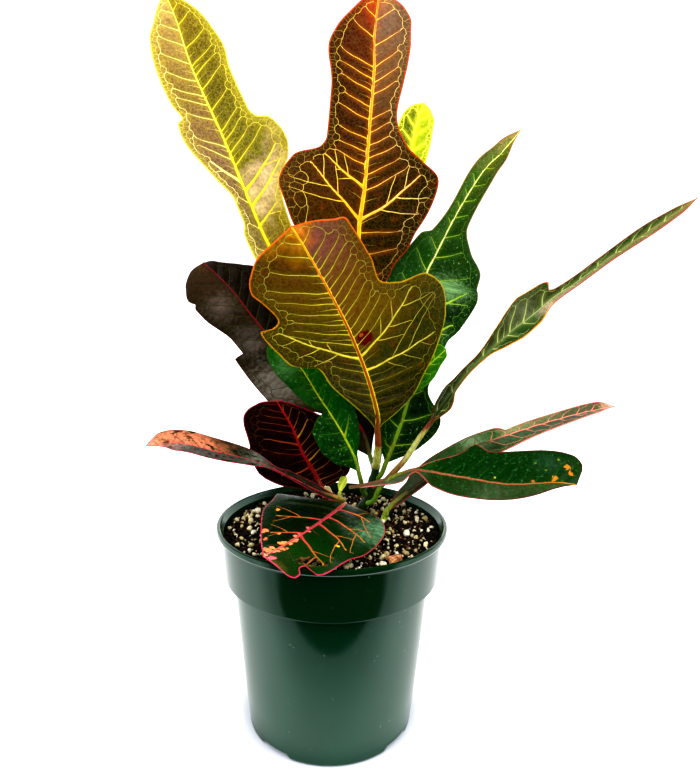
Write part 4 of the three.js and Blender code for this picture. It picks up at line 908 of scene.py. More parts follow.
def outside_holes(surface, places, holes):
    """Which of the flat places lie outside the ragged holes of a blade."""
    keep = np.ones(len(places), bool)
    for percent, reach, radius in holes:
        gap = places - surface.spot(percent, reach)
        ragged = 1 + HOLE_RAGGED * np.sin(HOLE_CORNERS * np.arctan2(gap[:, 1], gap[:, 0]) + radius)
        keep &= np.linalg.norm(gap, axis=1) > radius * ragged
    return keep


def add_blade(parts, surface, holes):
    rows = max(int(surface.length / GRID_STEP), FEWEST_ROWS)
    columns = blade_columns(surface.spec)
    percent = np.repeat(np.linspace(0, 100, rows + 1), len(columns))
    share = np.tile(columns, rows + 1)
    upper_points, lower_points, place = (np.zeros((len(share), 3)) for _ in range(3))
    values = {name: np.zeros(len(share)) for name in ("along", "reach", "side", "glow", "edge")}
    for side in SIDES:
        chosen = share < 0 if side == LEFT else share >= 0
        part = np.abs(share[chosen])
        along, out = surface.flat(percent[chosen], part * surface.reach(percent[chosen], side))
        details = surface.details(along, out, side)
        upper_points[chosen] = surface.point(along, out, side, details["upper"])
        lower_points[chosen] = surface.point(along, out, side, details["lower"])
        place[chosen] = np.column_stack([along, side * out, np.zeros(len(out))])
        for name, value in (("along", percent[chosen] / 100), ("reach", part), ("side", side),
                            ("glow", details["glow"]), ("edge", details["edge"])):
            values[name][chosen] = value
    grid = np.arange(len(share)).reshape(rows + 1, len(columns))
    corners = np.stack([grid[:-1, :-1], grid[:-1, 1:], grid[1:, 1:], grid[1:, :-1]], -1).reshape(-1, 4)
    corners = corners[outside_holes(surface, place[corners].mean(1)[:, :2], holes)]
    below = len(share)
    upper = corners.tolist()
    lower = (corners[:, ::-1] + below).tolist()
    edges = []
    for line in (grid[:, 0], grid[::-1, -1], grid[-1], grid[0, ::-1]):
        edges += [[a, b, b + below, a + below] for a, b in zip(line.tolist(), line[1:].tolist())]
    slots = [UPPER] * len(upper) + [UNDER] * len(lower) + [UPPER] * len(edges)
    parts.add(np.vstack([upper_points, lower_points]), upper + lower + edges, slots, np.tile(place, (2, 1)),
              **{name: np.tile(value, 2) for name, value in values.items()})


# Veins

def sow_loops(surface, side, rng):
    """Seeds either side of each side vein, numbered by the panel between two veins, and loose seeds
    near the margin, each with a number of its own, that lie closer together towards the margin."""
    seeds, cells = [], []
    veins = surface.veins[side]
    bases = [0, *[vein["base"] for vein in veins], 100]
    for number, vein in enumerate(veins):
        gap = min(bases[number + 1] - bases[number], bases[number + 2] - bases[number + 1])
        off = min(max(SEED_SHARE * gap * surface.length / 100, SEED_OFFSETS[0]), SEED_OFFSETS[1])
        reach = np.arange(-SEED_START * off, vein["end"], SEED_STEP * off)
        along, out = surface.flat(surface.vein_percent(vein, np.abs(reach)), reach)
        heading = unit(np.column_stack([np.gradient(along), np.gradient(out)]))
        sideways = np.column_stack([-heading[:, 1], heading[:, 0]]) * off
        spots = np.column_stack([along, out])
        seeds += [*(spots + sideways), *(spots - sideways), spots[-1] + heading[-1] * SEED_AHEAD * off]
        cells += [number] * len(spots) + [number + 1] * len(spots) + [FIRST_LOOP + number]
        if number:
            before = veins[number - 1]
            reach = np.arange(0, (vein["end"] + before["end"]) / 2 + off / 2, MIDDLE_STEP * off)
            percent = (surface.vein_percent(vein, reach) + surface.vein_percent(before, reach)) / 2
            seeds += [*np.column_stack(surface.flat(percent, reach))]
            cells += [number] * len(reach)
    percent = np.array([rng.uniform(0, 100) for _ in range(LOOSE_SEEDS)])
    share = np.array([rng.random() for _ in range(LOOSE_SEEDS)])
    room = surface.reach(percent, side)
    inward = np.clip(LOOSE_SHARE * room, LOOSE_DEPTHS[0], LOOSE_DEPTHS[1] * LOOP_DEPTH)
    along, out = surface.flat(percent, room - share * inward)
    edge = surface.margin_distance(along, out, side)
    spacing = np.clip(SPACING[0] + SPACING[1] * edge, *SPACING_LIMITS)
    taken = np.array(seeds) if seeds else np.zeros((0, 2))
    for x, y, depth, apart in zip(along, out, edge, spacing):
        if y < SEED_FROM_RIB or depth < SEED_FROM_EDGE:
            continue
        if len(taken) == 0 or ((taken - (x, y)) ** 2).sum(1).min() > apart ** 2:
            taken = np.vstack([taken, (x, y)])
            cells.append(FIRST_LOOSE_LOOP + len(cells))
    return taken, cells


def circle_middles(corners, triangles):
    """The middle of the circle through the three corners of each triangle."""
    a, b, c = (corners[triangles[:, k]] for k in range(3))
    ab, ac = b - a, c - a
    cross = 2 * (ab[:, 0] * ac[:, 1] - ab[:, 1] * ac[:, 0])
    ab2, ac2 = (ab ** 2).sum(1), (ac ** 2).sum(1)
    over = np.column_stack([ac[:, 1] * ab2 - ab[:, 1] * ac2, ab[:, 0] * ac2 - ac[:, 0] * ab2])
    return a + over / cross[:, None]


def grown(rule, depth):
    """A value that starts at the first of a rule and grows by the second with depth, up to the third."""
    first, rate, most = rule
    return min(first + rate * depth, most)


def vein_loops(surface, side, rng):
    """The net near the margin: pairs of places with a width and a strength, and where each side vein
    forks into it.

    The veins of the net are the lines between the cells of unlike seeds."""
    seeds, cells = sow_loops(surface, side, rng)
    vectors = [Vector(seed) for seed in seeds]
    corners, _, triangles, *_ = geometry.delaunay_2d_cdt(vectors, [], [], 0, SAME_PLACE)
    if len(corners) != len(seeds):
        return [], {}
    triangles = np.array(triangles)
    middle = circle_middles(np.array(corners), triangles)
    percent, reach = surface.vein_place(middle[:, 0], np.maximum(middle[:, 1], 0))
    edge = surface.margin_distance(middle[:, 0], middle[:, 1], side)
    inside = (middle[:, 1] > CORNER_FROM_RIB) & (reach < surface.reach(percent, side))
    inside &= (percent > 0) & (percent < 100)
    forks, borders = {}, {}
    for number, triangle in enumerate(triangles.tolist()):
        for i in range(3):
            borders.setdefault(frozenset((triangle[i], triangle[i - 1])), []).append(number)
        around = sorted({cells[i] for i in triangle})
        if len(around) < 3 or not inside[number]:
            continue
        if around[1] < FIRST_LOOP <= around[2] and around[1] - around[0] == 1:
            forks.setdefault(around[0], []).append(number)
    kept, links = [], {}
    for pair, (first, *second) in borders.items():
        one, two = sorted(cells[i] for i in pair)
        if second and one != two and two >= FIRST_LOOP and (inside[first] or inside[second[0]]):
            kept.append((first, second[0], one < FIRST_LOOP))
            if inside[first] and inside[second[0]]:
                links.setdefault(first, []).append(second[0])
                links.setdefault(second[0], []).append(first)
    smooth = middle.copy()
    for i, near in links.items():
        smooth[i] = (middle[i] + middle[near].mean(0)) / 2
    lines = []
    for first, second, arch in kept:
        start, stop = smooth[first], smooth[second]
        depth = min(edge[first], edge[second])
        if not (inside[first] and inside[second]):
            if arch or max(edge[first], edge[second]) < CORNER_FROM_EDGE:
                continue
            if inside[second]:
                start, stop = stop, start
            depth = edge[first] if inside[first] else edge[second]
            stop = start + unit(stop - start) * min(depth, STUB_LENGTH)
        if arch:
            lines.append((start, stop, ARCH_WIDTH, ARCH_STRENGTH))
        else:
            lines.append((start, stop, grown(LINK_WIDTH, depth), grown(LINK_STRENGTH, depth)))
    return lines, {number: np.array([smooth[i] for i in spots]) for number, spots in forks.items()}


def add_ribbons(parts, surface, side, lines, rank, swell, face=1, profile=RIDGE):
    """Raised veins on the upper face of the blade, 1, or on the lower one, -1. A line is a list of flat
    places, with a width and a strength at each."""
    stations, normals, widths, strengths, starts = [], [], [], [], []
    total = 0
    for places, width, strength in lines:
        places = np.asarray(places, float)
        if len(places) < 2:
            continue
        direction = unit(np.gradient(places, axis=0) + NO_ZERO)
        stations.append(places)
        normals.append(np.column_stack([-direction[:, 1], direction[:, 0]]))
        widths.append(np.broadcast_to(np.asarray(width, float), len(places)))
        strengths.append(np.broadcast_to(np.asarray(strength, float), len(places)))
        starts.append((total, len(places)))
        total += len(places)
    if not stations:
        return
    stations, normals, widths = np.vstack(stations), np.vstack(normals), np.concatenate(widths)
    gathered = {name: [] for name in ("points", "place", "percent", "reach", "edge", "across")}
    for offset, height in profile:
        spots = stations + normals * (offset * widths / 2)[:, None]
        out = np.abs(spots[:, 1]) if rank == MIDRIB else np.maximum(spots[:, 1], 0)
        half = np.where(spots[:, 1] < 0, -side, side) if rank == MIDRIB else side
        details = surface.details(spots[:, 0], out, side)
        lift = details["upper"] if face > 0 else details["lower"]
        lift = lift + face * (height * swell * widths - (RIDGE_SINK if height == 0 else 0))
        found = {**details, "points": surface.point(spots[:, 0], out, half, lift),
                 "place": np.column_stack([spots[:, 0], side * spots[:, 1], np.zeros(total)]),
                 "across": np.full(total, abs(offset))}
        for name, store in gathered.items():
            store.append(found[name])
    points, place = (np.stack(gathered[name], 1).reshape(-1, 3) for name in ("points", "place"))
    percent, reach, edge, across = (np.stack(gathered[name], 1).ravel()
                                    for name in ("percent", "reach", "edge", "across"))
    count = len(profile)
    faces = []
    for start, length in starts:
        for station in range(start, start + length - 1):
            for column in range(count - 1):
                a = station * count + column
                quad = [a, a + count, a + count + 1, a + 1]
                faces.append(quad if side * face < 0 else quad[::-1])
    full = np.maximum(surface.reach(percent, side), 1)
    parts.add(points, faces, VEINS, place, along=percent / 100, reach=reach / full, side=float(side),
              glow=np.repeat(np.concatenate(strengths), count), edge=edge, rank=float(rank), across=across)


def vein_branches(surface, side, vein, places, lines, net):
    """Smaller veins that leave a strong side vein to either side by turns. Each runs on until it meets
    another line or the net near the margin."""
    branches = []
    stem = surface.vein_line(vein, np.arange(0, vein["end"], BRANCH_STEM_STEP))
    for turn, share in enumerate(places):
        toward = 1 if turn % 2 else -1
        start = int(share * (len(stem) - 1))
        heading = stem[min(start + BRANCH_SIGHT, len(stem) - 1)] - stem[start]
        angle = math.atan2(heading[1], heading[0]) - toward * BRANCH_ANGLE
        path = [stem[start]]
        walls = np.vstack([*lines, *branches]) if lines or branches else np.zeros((0, 2))
        while len(path) < LONGEST_BRANCH:
            angle += toward * BRANCH_BEND + BRANCH_WAVER * math.sin(BRANCH_PACE * len(path) + vein["base"])
            place = path[-1] + BRANCH_STEP * np.array([math.cos(angle), math.sin(angle)])
            percent, reach = surface.vein_place(place[:1], place[1:])
            room = float(surface.reach(percent, side)[0])
            on_blade = BRANCH_PERCENTS[0] < percent[0] < BRANCH_PERCENTS[1]
            if not on_blade or reach[0] > room - loop_depth(room, BRANCH_END):
                break
            path.append(place)
            wall, gap = nearest(walls, place)
            if len(path) >= SHORTEST_BRANCH and gap < BRANCH_STEP:
                path.append(wall)
                break
        if len(path) < SHORTEST_BRANCH:
            continue
        knot, gap = nearest(net, path[-1])
        if NET_REACH[0] < gap < NET_REACH[1]:
            path.append(knot)
        branches.append(np.array(path))
    return branches


def side_vein_path(surface, vein, number, forks):
    """The flat places of a side vein, up to the fork where it meets the net. A very short one has none."""
    reach = np.arange(0, vein["end"], VEIN_STEP)
    if len(reach) < 3:
        return None
    path = surface.vein_line(vein, reach)
    waver = VEIN_WAVER * np.sin(reach * WAVER_PACE + number * WAVER_SHIFT)
    path[:, 0] += waver * np.minimum(reach / WAVER_START, 1)
    fork, gap = nearest(forks, path[-1])
    if gap >= FORK_REACH:
        return path
    return np.vstack([path[:-1] if gap < FORK_CLOSE else path, fork])


def small_vein(surface, vein, before, rng):
    """A short vein between a side vein and the one before it."""
    base = vein["base"] - (vein["base"] - before["base"]) * rng.uniform(*SMALL_PLACE)
    reach = np.arange(0, vein["end"] * rng.uniform(*SMALL_REACH), SMALL_STEP)
    if len(reach) < 4:
        return []
    path = surface.vein_line({**vein, "base": base}, reach)
    path[:, 0] += SMALL_WAVER * np.sin(reach * SMALL_PACE)
    return [(path, np.linspace(*SMALL_WIDTHS, len(reach)), np.linspace(*SMALL_STRENGTHS, len(reach)))]


def net_link(start, stop, width, strength, look, rng):
    """One line of the net, slightly bowed."""
    length = float(np.linalg.norm(stop - start))
    if not LINK_LENGTHS[0] <= length <= LINK_LENGTHS[1]:
        return []
    t = np.linspace(0, 1, max(int(length / LINK_STEP), 2) + 1)[:, None]
    bow = rng.uniform(-LINK_BOW, LINK_BOW) * length * np.sin(math.pi * t)
    sideways = np.array([-(stop - start)[1], (stop - start)[0]]) / length
    width *= look["vein_size"] * rng.uniform(*LINK_WIDTHS)
    return [(start + (stop - start) * t + sideways * bow, width, strength * look["loops"])]


def add_midrib(parts, surface, size):
    count = max(int(surface.length / RIB_STEP), FEWEST_RIB_POINTS)
    along = np.linspace(RIB_ENDS[0], surface.length - RIB_ENDS[1], count)
    width = np.interp(along / surface.length, *RIB_TAPER) * size
    ribs = [(np.column_stack([along, np.zeros(count)]), width, 1.0)]
    add_ribbons(parts, surface, RIGHT, ribs, MIDRIB, RIB_SWELL, 1, ROUND_RIB)
    add_ribbons(parts, surface, RIGHT, ribs, MIDRIB, UNDER_RIB_SWELL, -1, ROUND_RIB)


def add_veins(parts, surface, look, rng):
    add_midrib(parts, surface, look["rib_size"])
    for side in SIDES:
        mains, thin, lines, branches = [], [], {}, []
        veins = surface.veins[side]
        loops, forks = vein_loops(surface, side, rng)
        for number, vein in enumerate(veins):
            path = side_vein_path(surface, vein, number, forks.get(number, ()))
            if path is None:
                continue
            lines[number] = path
            width = look["vein_size"] * np.interp(np.linspace(0, 1, len(path)), *VEIN_TAPER)
            if vein["strong"]:
                mains.append((path, STRONG_WIDTH * width, STRONG))
            else:
                mains.append((path, width, look["weak"]))
            before = veins[number - 1]
            if number and (vein["base"] - before["base"]) * surface.length > WIDE_PANEL:
                thin += small_vein(surface, vein, before, rng)
        net = np.array([place for link in loops for place in link[:2]])
        for number in lines:
            if veins[number]["strong"]:
                walls = [line for other, line in lines.items() if other != number] + branches
                branches += vein_branches(surface, side, veins[number], look["branches"], walls, net)
        for branch in branches:
            width = look["vein_size"] * np.linspace(*BRANCH_WIDTHS, len(branch))
            mains.append((branch, width, BRANCH_STRENGTH))
        for link in loops:
            thin += net_link(*link, look, rng)
        add_ribbons(parts, surface, side, mains, SIDE_VEIN, MAIN_SWELL * look["vein_lift"])
        add_ribbons(parts, surface, side, mains, SIDE_VEIN, UNDER_SWELL, -1)
        add_ribbons(parts, surface, side, thin, SMALL_VEIN, THIN_SWELL * look["vein_lift"])


def add_stalk(parts, surface, spec):
    if not spec["stalk"]:
        return
    joint = spec["stalk_joins_at"]
    on_blade = np.array([joint, joint + STALK_REACH / 2, joint + STALK_REACH]) * surface.length
    seat = surface.point(on_blade, np.zeros(3), RIGHT, np.full(3, -HALF_THICKNESS))
    path, length = smooth_path(np.vstack([spec["stalk"], seat]), STALK_POINTS)
    place = np.linspace(0, 1, STALK_POINTS)
    scale = SHORT_BLADE_STALK if surface.length < SHORT_BLADE else 1
    swollen = 1 + STALK_SWELL * hump(place * length, STALK_SWELL_LENGTH)
    radii = smooth_value(STALK_RADII, place) * scale * spec["stalk_size"] * swollen
    points, faces = tube(path, radii, STALK_SIDES)
    parts.add(points, faces, STALK, along=np.concatenate([np.repeat(place, STALK_SIDES), [0, 1]]))


# Materials

# The net of fine veins and the finer one inside it: how far their lines reach, and their amount at both ends
NET_SCALE = 0.42
NET_EDGE = (0.0, 0.11, 1.0, 0.0)
FINE_NET_SCALE = 1.1
FINE_NET_EDGE = (0.0, 0.16, 0.5, 0.0)
UNDER_NET_EDGE = (0.0, 0.13, 0.45, 0.0)

# Noise in the looks of the leaves: its scale, detail and, if it isn't 0.5, roughness. Each range is where
# a pattern starts and is full, and for some its amount at both ends.
BLOTCH = (0.09, 3.0)
BLOTCH_SHIFT = 0.22
MOTTLE = (0.16, 4.0, 0.6)
MOTTLE_RANGE = (0.5, 0.68)
SPECKLE = (1.5, 3.0, 0.7)
SPECKLE_RANGE = (0.45, 0.75)
SHADE = (0.5, 3.0)
SHADE_RANGE = (0.3, 0.7, 0.72, 1.12)
STREAKS = (1.0, 3.0)
SHEEN_STREAK_RANGE = (0.3, 0.7, 0.35, 1.0)
FLECKS = (1.0, 4.0, 0.6)
FLECK_EDGE = 0.05
SHINE = (0.2, 3.0)
SHINE_RANGE = (0.3, 0.7, 0.24, 0.4)
UNDER_BLOTCH = (0.12, 4.0)
UNDER_BLOTCH_RANGE = (0.35, 0.65)
UNDER_COVER = 0.55
UNDER_GLOW = 0.5
TONE = (0.35, 3.0)
TONE_RANGE = (0.3, 0.7, 0.0, 0.35)

# Where patterns start and are full: over the middle, at the rim, at the margin, and in round patches
MIDDLE = (-0.1, 0.1)
RIM = (0.55, 1.0)
MARGIN_EDGE = (0.6, 1.4)
UNDER_MARGIN_EDGE = (0.6, 1.5)
MARGIN_WAVER = (0.3, 2.0)
MARGIN_UNEVEN = 0.8
RIB_SIDES = (0.4, 0.9)
SMALL_RANKS = (0.2, 0.8)
PAINTED_SHEEN_EDGE = (0.0, 1.1)
SPOT_EDGE = (0.75, 1.05)
SPOT_RAGGED = (0.45, 3.0)
PATCH_SHAPE = 1.2
BROWN = "#6c4a24"
BROWN_WIDTH = 1.5
BROWN_EDGE = (0.6, 1.0)

# Stalks and stems
STALK_WAVER = (0.3, 2.0)
STALK_SHIFT = 0.15
FIBRES = (1.6, 1.6, 0.25)
FIBRE_SHADE = (0.35, 0.65, 0.6, 1.1)


def color(code):
    """The linear values of a colour that is written as a code."""
    values = [int(code[i:i + 2], 16) / 255 for i in (1, 3, 5)]
    return [v / 12.92 if v <= 0.04045 else ((v + 0.055) / 1.055) ** 2.4 for v in values] + [1.0]


def put(tree, socket, value):
    """Links a socket to what another node gives, or sets its value."""
    if isinstance(value, bpy.types.NodeSocket):
        tree.links.new(value, socket)
    else:
        socket.default_value = value


def add_node(tree, kind, inputs, **settings):
    """Adds a node and gives its outputs."""
    node = tree.nodes.new("ShaderNode" + kind)
    for key, value in settings.items():
        setattr(node, key, value)
    for key, value in inputs.items():
        put(tree, node.inputs[key], value)
    return node.outputs


class Shader:
    """Builds one node material, with short names for the nodes that come again and again."""

    def __init__(self, name, roughness, specular=0.5):
        self.material = bpy.data.materials.new(name)
        self.material.use_nodes = True
        self.tree = self.material.node_tree
        self.surface = self.tree.nodes["Principled BSDF"]
        self.surface.inputs["Roughness"].default_value = roughness
        self.surface.inputs["Specular IOR Level"].default_value = specular

    def node(self, kind, inputs, output, **settings):
        return add_node(self.tree, kind, inputs, **settings)[output]

    def value(self, name):
        return self.node("Attribute", {}, "Fac", attribute_name=name)

    def place(self):
        return self.node("Attribute", {}, "Vector", attribute_name="place")

    def math(self, operation, a, b=0.0):
        return self.node("Math", {0: a, 1: b}, 0, operation=operation)

    def fade(self, value, low, high, first=0.0, last=1.0):
        """Goes smoothly from first to last while the value goes from low to high."""
        inputs = {"Value": value, "From Min": low, "From Max": high, "To Min": first, "To Max": last}
        return self.node("MapRange", inputs, "Result", interpolation_type="SMOOTHSTEP")

    def mix(self, amount, a, b, blend="MIX"):
        return self.node("Mix", {0: amount, 6: a, 7: b}, 2, data_type="RGBA", blend_type=blend)

    def shaded(self, base, shade):
        gray = self.node("CombineColor", {0: shade, 1: shade, 2: shade}, 0)
        return self.mix(1.0, base, gray, "MULTIPLY")

    def cover(self, base, pattern, paint):
        """Lays a paint, which is a colour code and an amount, over the base where the pattern is."""
        code, amount = paint
        return self.mix(self.math("MULTIPLY", pattern, amount), base, color(code))

    def waver(self, place, noise, amount):
        """Noise that goes to either side of zero."""
        return self.math("MULTIPLY", self.math("SUBTRACT", self.noise(place, *noise), 0.5), amount)

    def halves(self, value, look, left, right):
        """A ramp for the left half of a leaf that goes over into one for its right half."""
        over = self.fade(self.value("side"), *MIDDLE)
        return self.mix(over, self.ramp(value, look[left]), self.ramp(value, look[right]))

    def margin(self, base, line, look, edge):
        """Lays the colours of the margin over the base near the edge of a leaf."""
        near, far = (part * look["margin_width"] for part in edge)
        mask = self.fade(line, near, far, 1.0, 0.0)
        return self.mix(mask, base, self.ramp(self.value("along"), look["margin"]))

    def ramp(self, amount, stops):
        """A colour by the amount, from stops of place and colour code."""
        output = self.node("ValToRGB", {"Fac": amount}, "Color")
        elements = output.node.color_ramp.elements
        for (place, code), element in zip(stops, elements):
            element.position, element.color = place, color(code)
        for place, code in stops[2:]:
            elements.new(place).color = color(code)
        if len(stops) > 2:
            elements[0].position = stops[0][0]
        return output

    def noise(self, place, scale, detail=2.0, roughness=0.5):
        inputs = {"Vector": place, "Scale": scale, "Detail": detail, "Roughness": roughness}
        return self.node("TexNoise", inputs, 0)

    def cells(self, place, scale, feature="DISTANCE_TO_EDGE"):
        return self.node("TexVoronoi", {"Vector": place, "Scale": scale}, "Distance", feature=feature)

    def bump(self, height, strength):
        inputs = {"Height": height, "Strength": strength, "Distance": MM}
        put(self.tree, self.surface.inputs["Normal"], self.node("Bump", inputs, 0))

    def stretched(self, place, x, y, z=1.0):
        return self.node("Mapping", {"Vector": place, "Scale": (x, y, z)}, 0)

    def finish(self, base, roughness=None):
        put(self.tree, self.surface.inputs["Base Color"], base)
        if roughness is not None:
            put(self.tree, self.surface.inputs["Roughness"], roughness)
        return self.material


def leaf_upper(name, look, surface):
    shader = Shader(name, roughness=0.3, specular=look["gloss"])
    place = shader.place()
    shifted = shader.math("ADD", shader.value("along"), shader.waver(place, BLOTCH, BLOTCH_SHIFT))
    base = shader.halves(shifted, look, "left", "right")
    base = shader.cover(base, shader.fade(shader.value("reach"), *RIM), look["rim"])
    base = shader.cover(base, shader.fade(shader.noise(place, *MOTTLE), *MOTTLE_RANGE), look["mottle"])
    base = shader.cover(base, shader.fade(shader.noise(place, *SPECKLE), *SPECKLE_RANGE), look["grain"])
    base = shader.shaded(base, shader.fade(shader.noise(place, *SHADE), *SHADE_RANGE))
    net = shader.cells(place, NET_SCALE)
    base = shader.cover(base, shader.fade(net, *NET_EDGE), look["net"])
    base = shader.cover(base, shader.fade(shader.cells(place, FINE_NET_SCALE), *FINE_NET_EDGE), look["net"])
    base = shader.cover(base, shader.value("glow"), look["glow"])
    # The sheen patches below are painted highlights and reflections, broken into streaks along the blade.
    streaks = shader.fade(shader.noise(shader.stretched(place, 0.3, 0.06), *STREAKS), *SHEEN_STREAK_RANGE)
    for *patch, code, amount in look["painted_sheen"]:
        mask = spot_mask(shader, surface, place, patch, PAINTED_SHEEN_EDGE)
        base = shader.cover(base, shader.math("MULTIPLY", mask, streaks), (code, amount))
    # Flecks stretched along the blade. The pale ones on the green leaves are partly their own speckles and
    # partly painted glossy reflections; the dark ones on the orange-tipped leaf are its own marks.
    if "flecks" in look:
        code, low, long, wide = look["flecks"]
        pattern = shader.noise(shader.stretched(place, long, wide), *FLECKS)
        base = shader.mix(shader.fade(pattern, low, low + FLECK_EDGE), base, color(code))
    for *spot, code in look["spots"]:
        mask = spot_mask(shader, surface, place, spot, SPOT_EDGE, look["spot_shape"])
        base = shader.mix(mask, base, color(code))
    for *middle, radius in look["holes"]:
        mask = spot_mask(shader, surface, place, (*middle, radius * BROWN_WIDTH), BROWN_EDGE)
        base = shader.mix(mask, base, color(BROWN))
    line = shader.math("ADD", shader.value("edge"), shader.waver(place, MARGIN_WAVER, MARGIN_UNEVEN))
    base = shader.margin(base, line, look, MARGIN_EDGE)
    shader.bump(shader.math("ADD", net, shader.noise(place, 1.5, 2.0)), 0.12)
    return shader.finish(base, shader.fade(shader.noise(place, *SHINE), *SHINE_RANGE))


def spot_mask(shader, surface, place, spot, edge, ragged=PATCH_SHAPE):
    """1 inside a round patch of the blade, given by its percent, reach and radius, with a ragged edge."""
    percent, reach, radius = spot
    middle = (*surface.spot(percent, reach), 0.0)
    gap = shader.node("VectorMath", {0: place, 1: middle}, "Value", operation="DISTANCE")
    gap = shader.math("DIVIDE", gap, radius)
    return shader.fade(shader.math("ADD", gap, shader.waver(place, SPOT_RAGGED, ragged)), *edge, 1.0, 0.0)


def leaf_under(name, look):
    shader = Shader(name, roughness=0.48)
    place, under = shader.place(), color(look["under"])
    blotch = shader.fade(shader.noise(place, *UNDER_BLOTCH), *UNDER_BLOTCH_RANGE)
    base = shader.mix(blotch, under, shader.ramp(shader.value("along"), look["left"]))
    base = shader.mix(UNDER_COVER, base, under)
    net = shader.cells(place, NET_SCALE)
    base = shader.mix(shader.fade(net, *UNDER_NET_EDGE), base, color(look["net"][0]))
    base = shader.cover(base, shader.value("glow"), (look["glow"][0], UNDER_GLOW))
    base = shader.margin(base, shader.value("edge"), look, UNDER_MARGIN_EDGE)
    shader.bump(net, 0.2)
    return shader.finish(base)


def leaf_veins(name, look):
    shader = Shader(name, roughness=0.33, specular=0.25)
    place, along, glow = shader.place(), shader.value("along"), shader.value("glow")
    right = "vein_right" if "vein_right" in look else "vein"
    small = shader.halves(shader.value("reach"), look, "vein", right)
    rib = shader.ramp(along, look["midrib"])
    rib = shader.mix(shader.fade(shader.value("across"), *RIB_SIDES), rib, color(look["midrib_side"]))
    small = shader.cover(small, shader.math("SUBTRACT", 1.0, glow), (look["net"][0], look["faint"]))
    if "vein_base" in look:
        first, low, high = look["vein_base"]
        kept = shader.math("MAXIMUM", shader.fade(along, low, high), shader.fade(glow, 1.0, STRONG))
        small = shader.mix(kept, color(first), small)
    base = shader.mix(shader.fade(shader.value("rank"), *SMALL_RANKS), rib, small)
    tone = shader.fade(shader.noise(place, *TONE), *TONE_RANGE)
    base = shader.mix(tone, base, color(look["glow"][0]))
    shader.bump(shader.noise(place, 1.2, 2.0), 0.1)
    return shader.finish(base)


def stalk_material(name, stops):
    shader = Shader(name, roughness=0.38, specular=0.3)
    place = shader.place()
    along = shader.math("ADD", shader.value("along"), shader.waver(place, STALK_WAVER, STALK_SHIFT))
    streaks = shader.noise(shader.stretched(place, *FIBRES), *STREAKS)
    base = shader.shaded(shader.ramp(along, stops), shader.fade(streaks, *FIBRE_SHADE))
    shader.bump(streaks, 0.25)
    return shader.finish(base)


def build_leaf(name, seed):
    spec, look = {**LEAF_DEFAULTS, **LEAVES[name]}, {**LOOK_DEFAULTS, **LOOKS[name]}
    surface = LeafSurface(spec)
    parts = Parts()
    add_blade(parts, surface, look["holes"])
    add_veins(parts, surface, look, random.Random(seed))
    add_stalk(parts, surface, spec)
    materials = [leaf_upper(name + "_upper", look, surface), leaf_under(name + "_under", look),
                 leaf_veins(name + "_veins", look), stalk_material(name + "_stalk", look["stalk"])]
    leaf = parts.make(name + "_fine", materials)
    slots = {entry["node"]: entry["material_slot"] for entry in frame["record"]["subparts"]}
    finish_piece(leaf, slots[name], name)


def build_stem(name):
    spec = STEMS[name]
    path, length = smooth_path(spec["path"], STEM_POINTS)
    place = np.linspace(0, 1, STEM_POINTS)
    scars = np.zeros(STEM_POINTS)
    for scar in np.arange(FIRST_SCAR, 1, SCAR_SPACING / length):
        scars += SCAR_HEIGHT * hump((place - scar) * length, SCAR_LENGTH)
    waves = STEM_WAVE * np.sin(place * length * STEM_WAVE_PACE)
    points, faces = tube(path, smooth_value(spec["radii"], place) + waves + scars, STEM_SIDES)
    parts = Parts()
    parts.add(points, faces, along=np.concatenate([np.repeat(place, STEM_SIDES), [0, 1]]))
    stem = parts.make(name + "_fine", [stalk_material(name, spec["colors"])])
    finish_piece(stem, "stem", name)


# Pot

# The outlines are pairs of radius and height, the outer one going up and the inner one down.
# A drain hole lies this far from the middle and has this radius.
POT_HEIGHT = 130
POT_OUTSIDE = [(0, 0), (49.2, 0), (50.6, 0.35), (51.4, 1.6), (51.4, 6.4), (51.55, 7.1), (52.0, 7.5),
               (60.1, 96.2), (60.3, 97.0), (60.9, 97.3), (64.5, 97.5), (65.0, 97.8), (65.15, 98.4),
               (67.25, 124.6), (67.5, 125.5), (68.6, 126.1), (69.5, 126.5), (70, 127.3),
               (70, 129.0), (69.7, 129.7), (69.0, 130)]
POT_INSIDE = [(68.5, 130), (67.9, 129.6), (67.6, 129.0), (65.7, 126.4), (63.5, 99.8), (62.9, 99.1),
              (59.2, 98.9), (58.5, 98.2), (58.2, 93.6), (50.5, 6.8), (48.3, 2.2), (0, 2.2)]
CAVITY_RISE = 5
POT_SIDES = 160
NOTCH_ANGLES = (-129, -39, 51, 141)
NOTCH_HEIGHT = 3.6
NOTCH_RADII = (40, 60)
NOTCH_WIDTHS = (26, 17)
CUT_DEPTH = 5
WALL = 1.6
HOLD = 0.6
HOLD_SHARE = 0.2
DRAIN_HOLE = (45, 3.5)
HOLE_SIDES = 24
HOLE_ENDS = (-2, 9)
SHARP_ANGLE = 28

# Colours of the plastic: cloudy below, with painted shade that darkens the collar, and with dusty spots
PLASTIC = ("#012c18", "#02321d")
PAINTED_COLLAR_SHADE = "#01260f"
COLLAR_SHADE_HEIGHTS = (80, 105)
DUST = "#8fa898"
DUST_AMOUNT = 0.55
PLASTIC_TINT = (0.72, 1.0, 0.9, 1.0)


def held(profile):
    """The same profile with extra points near the ends of long lines, so that these lines shade straight."""
    points = [profile[0]]
    for (r, z), (next_r, next_z) in zip(profile, profile[1:]):
        share = HOLD / math.hypot(next_r - r, next_z - z)
        if share < HOLD_SHARE and r > 0 and next_r > 0:
            points += [(r + (next_r - r) * part, z + (next_z - z) * part) for part in (share, 1 - share)]
        points.append((next_r, next_z))
    return points


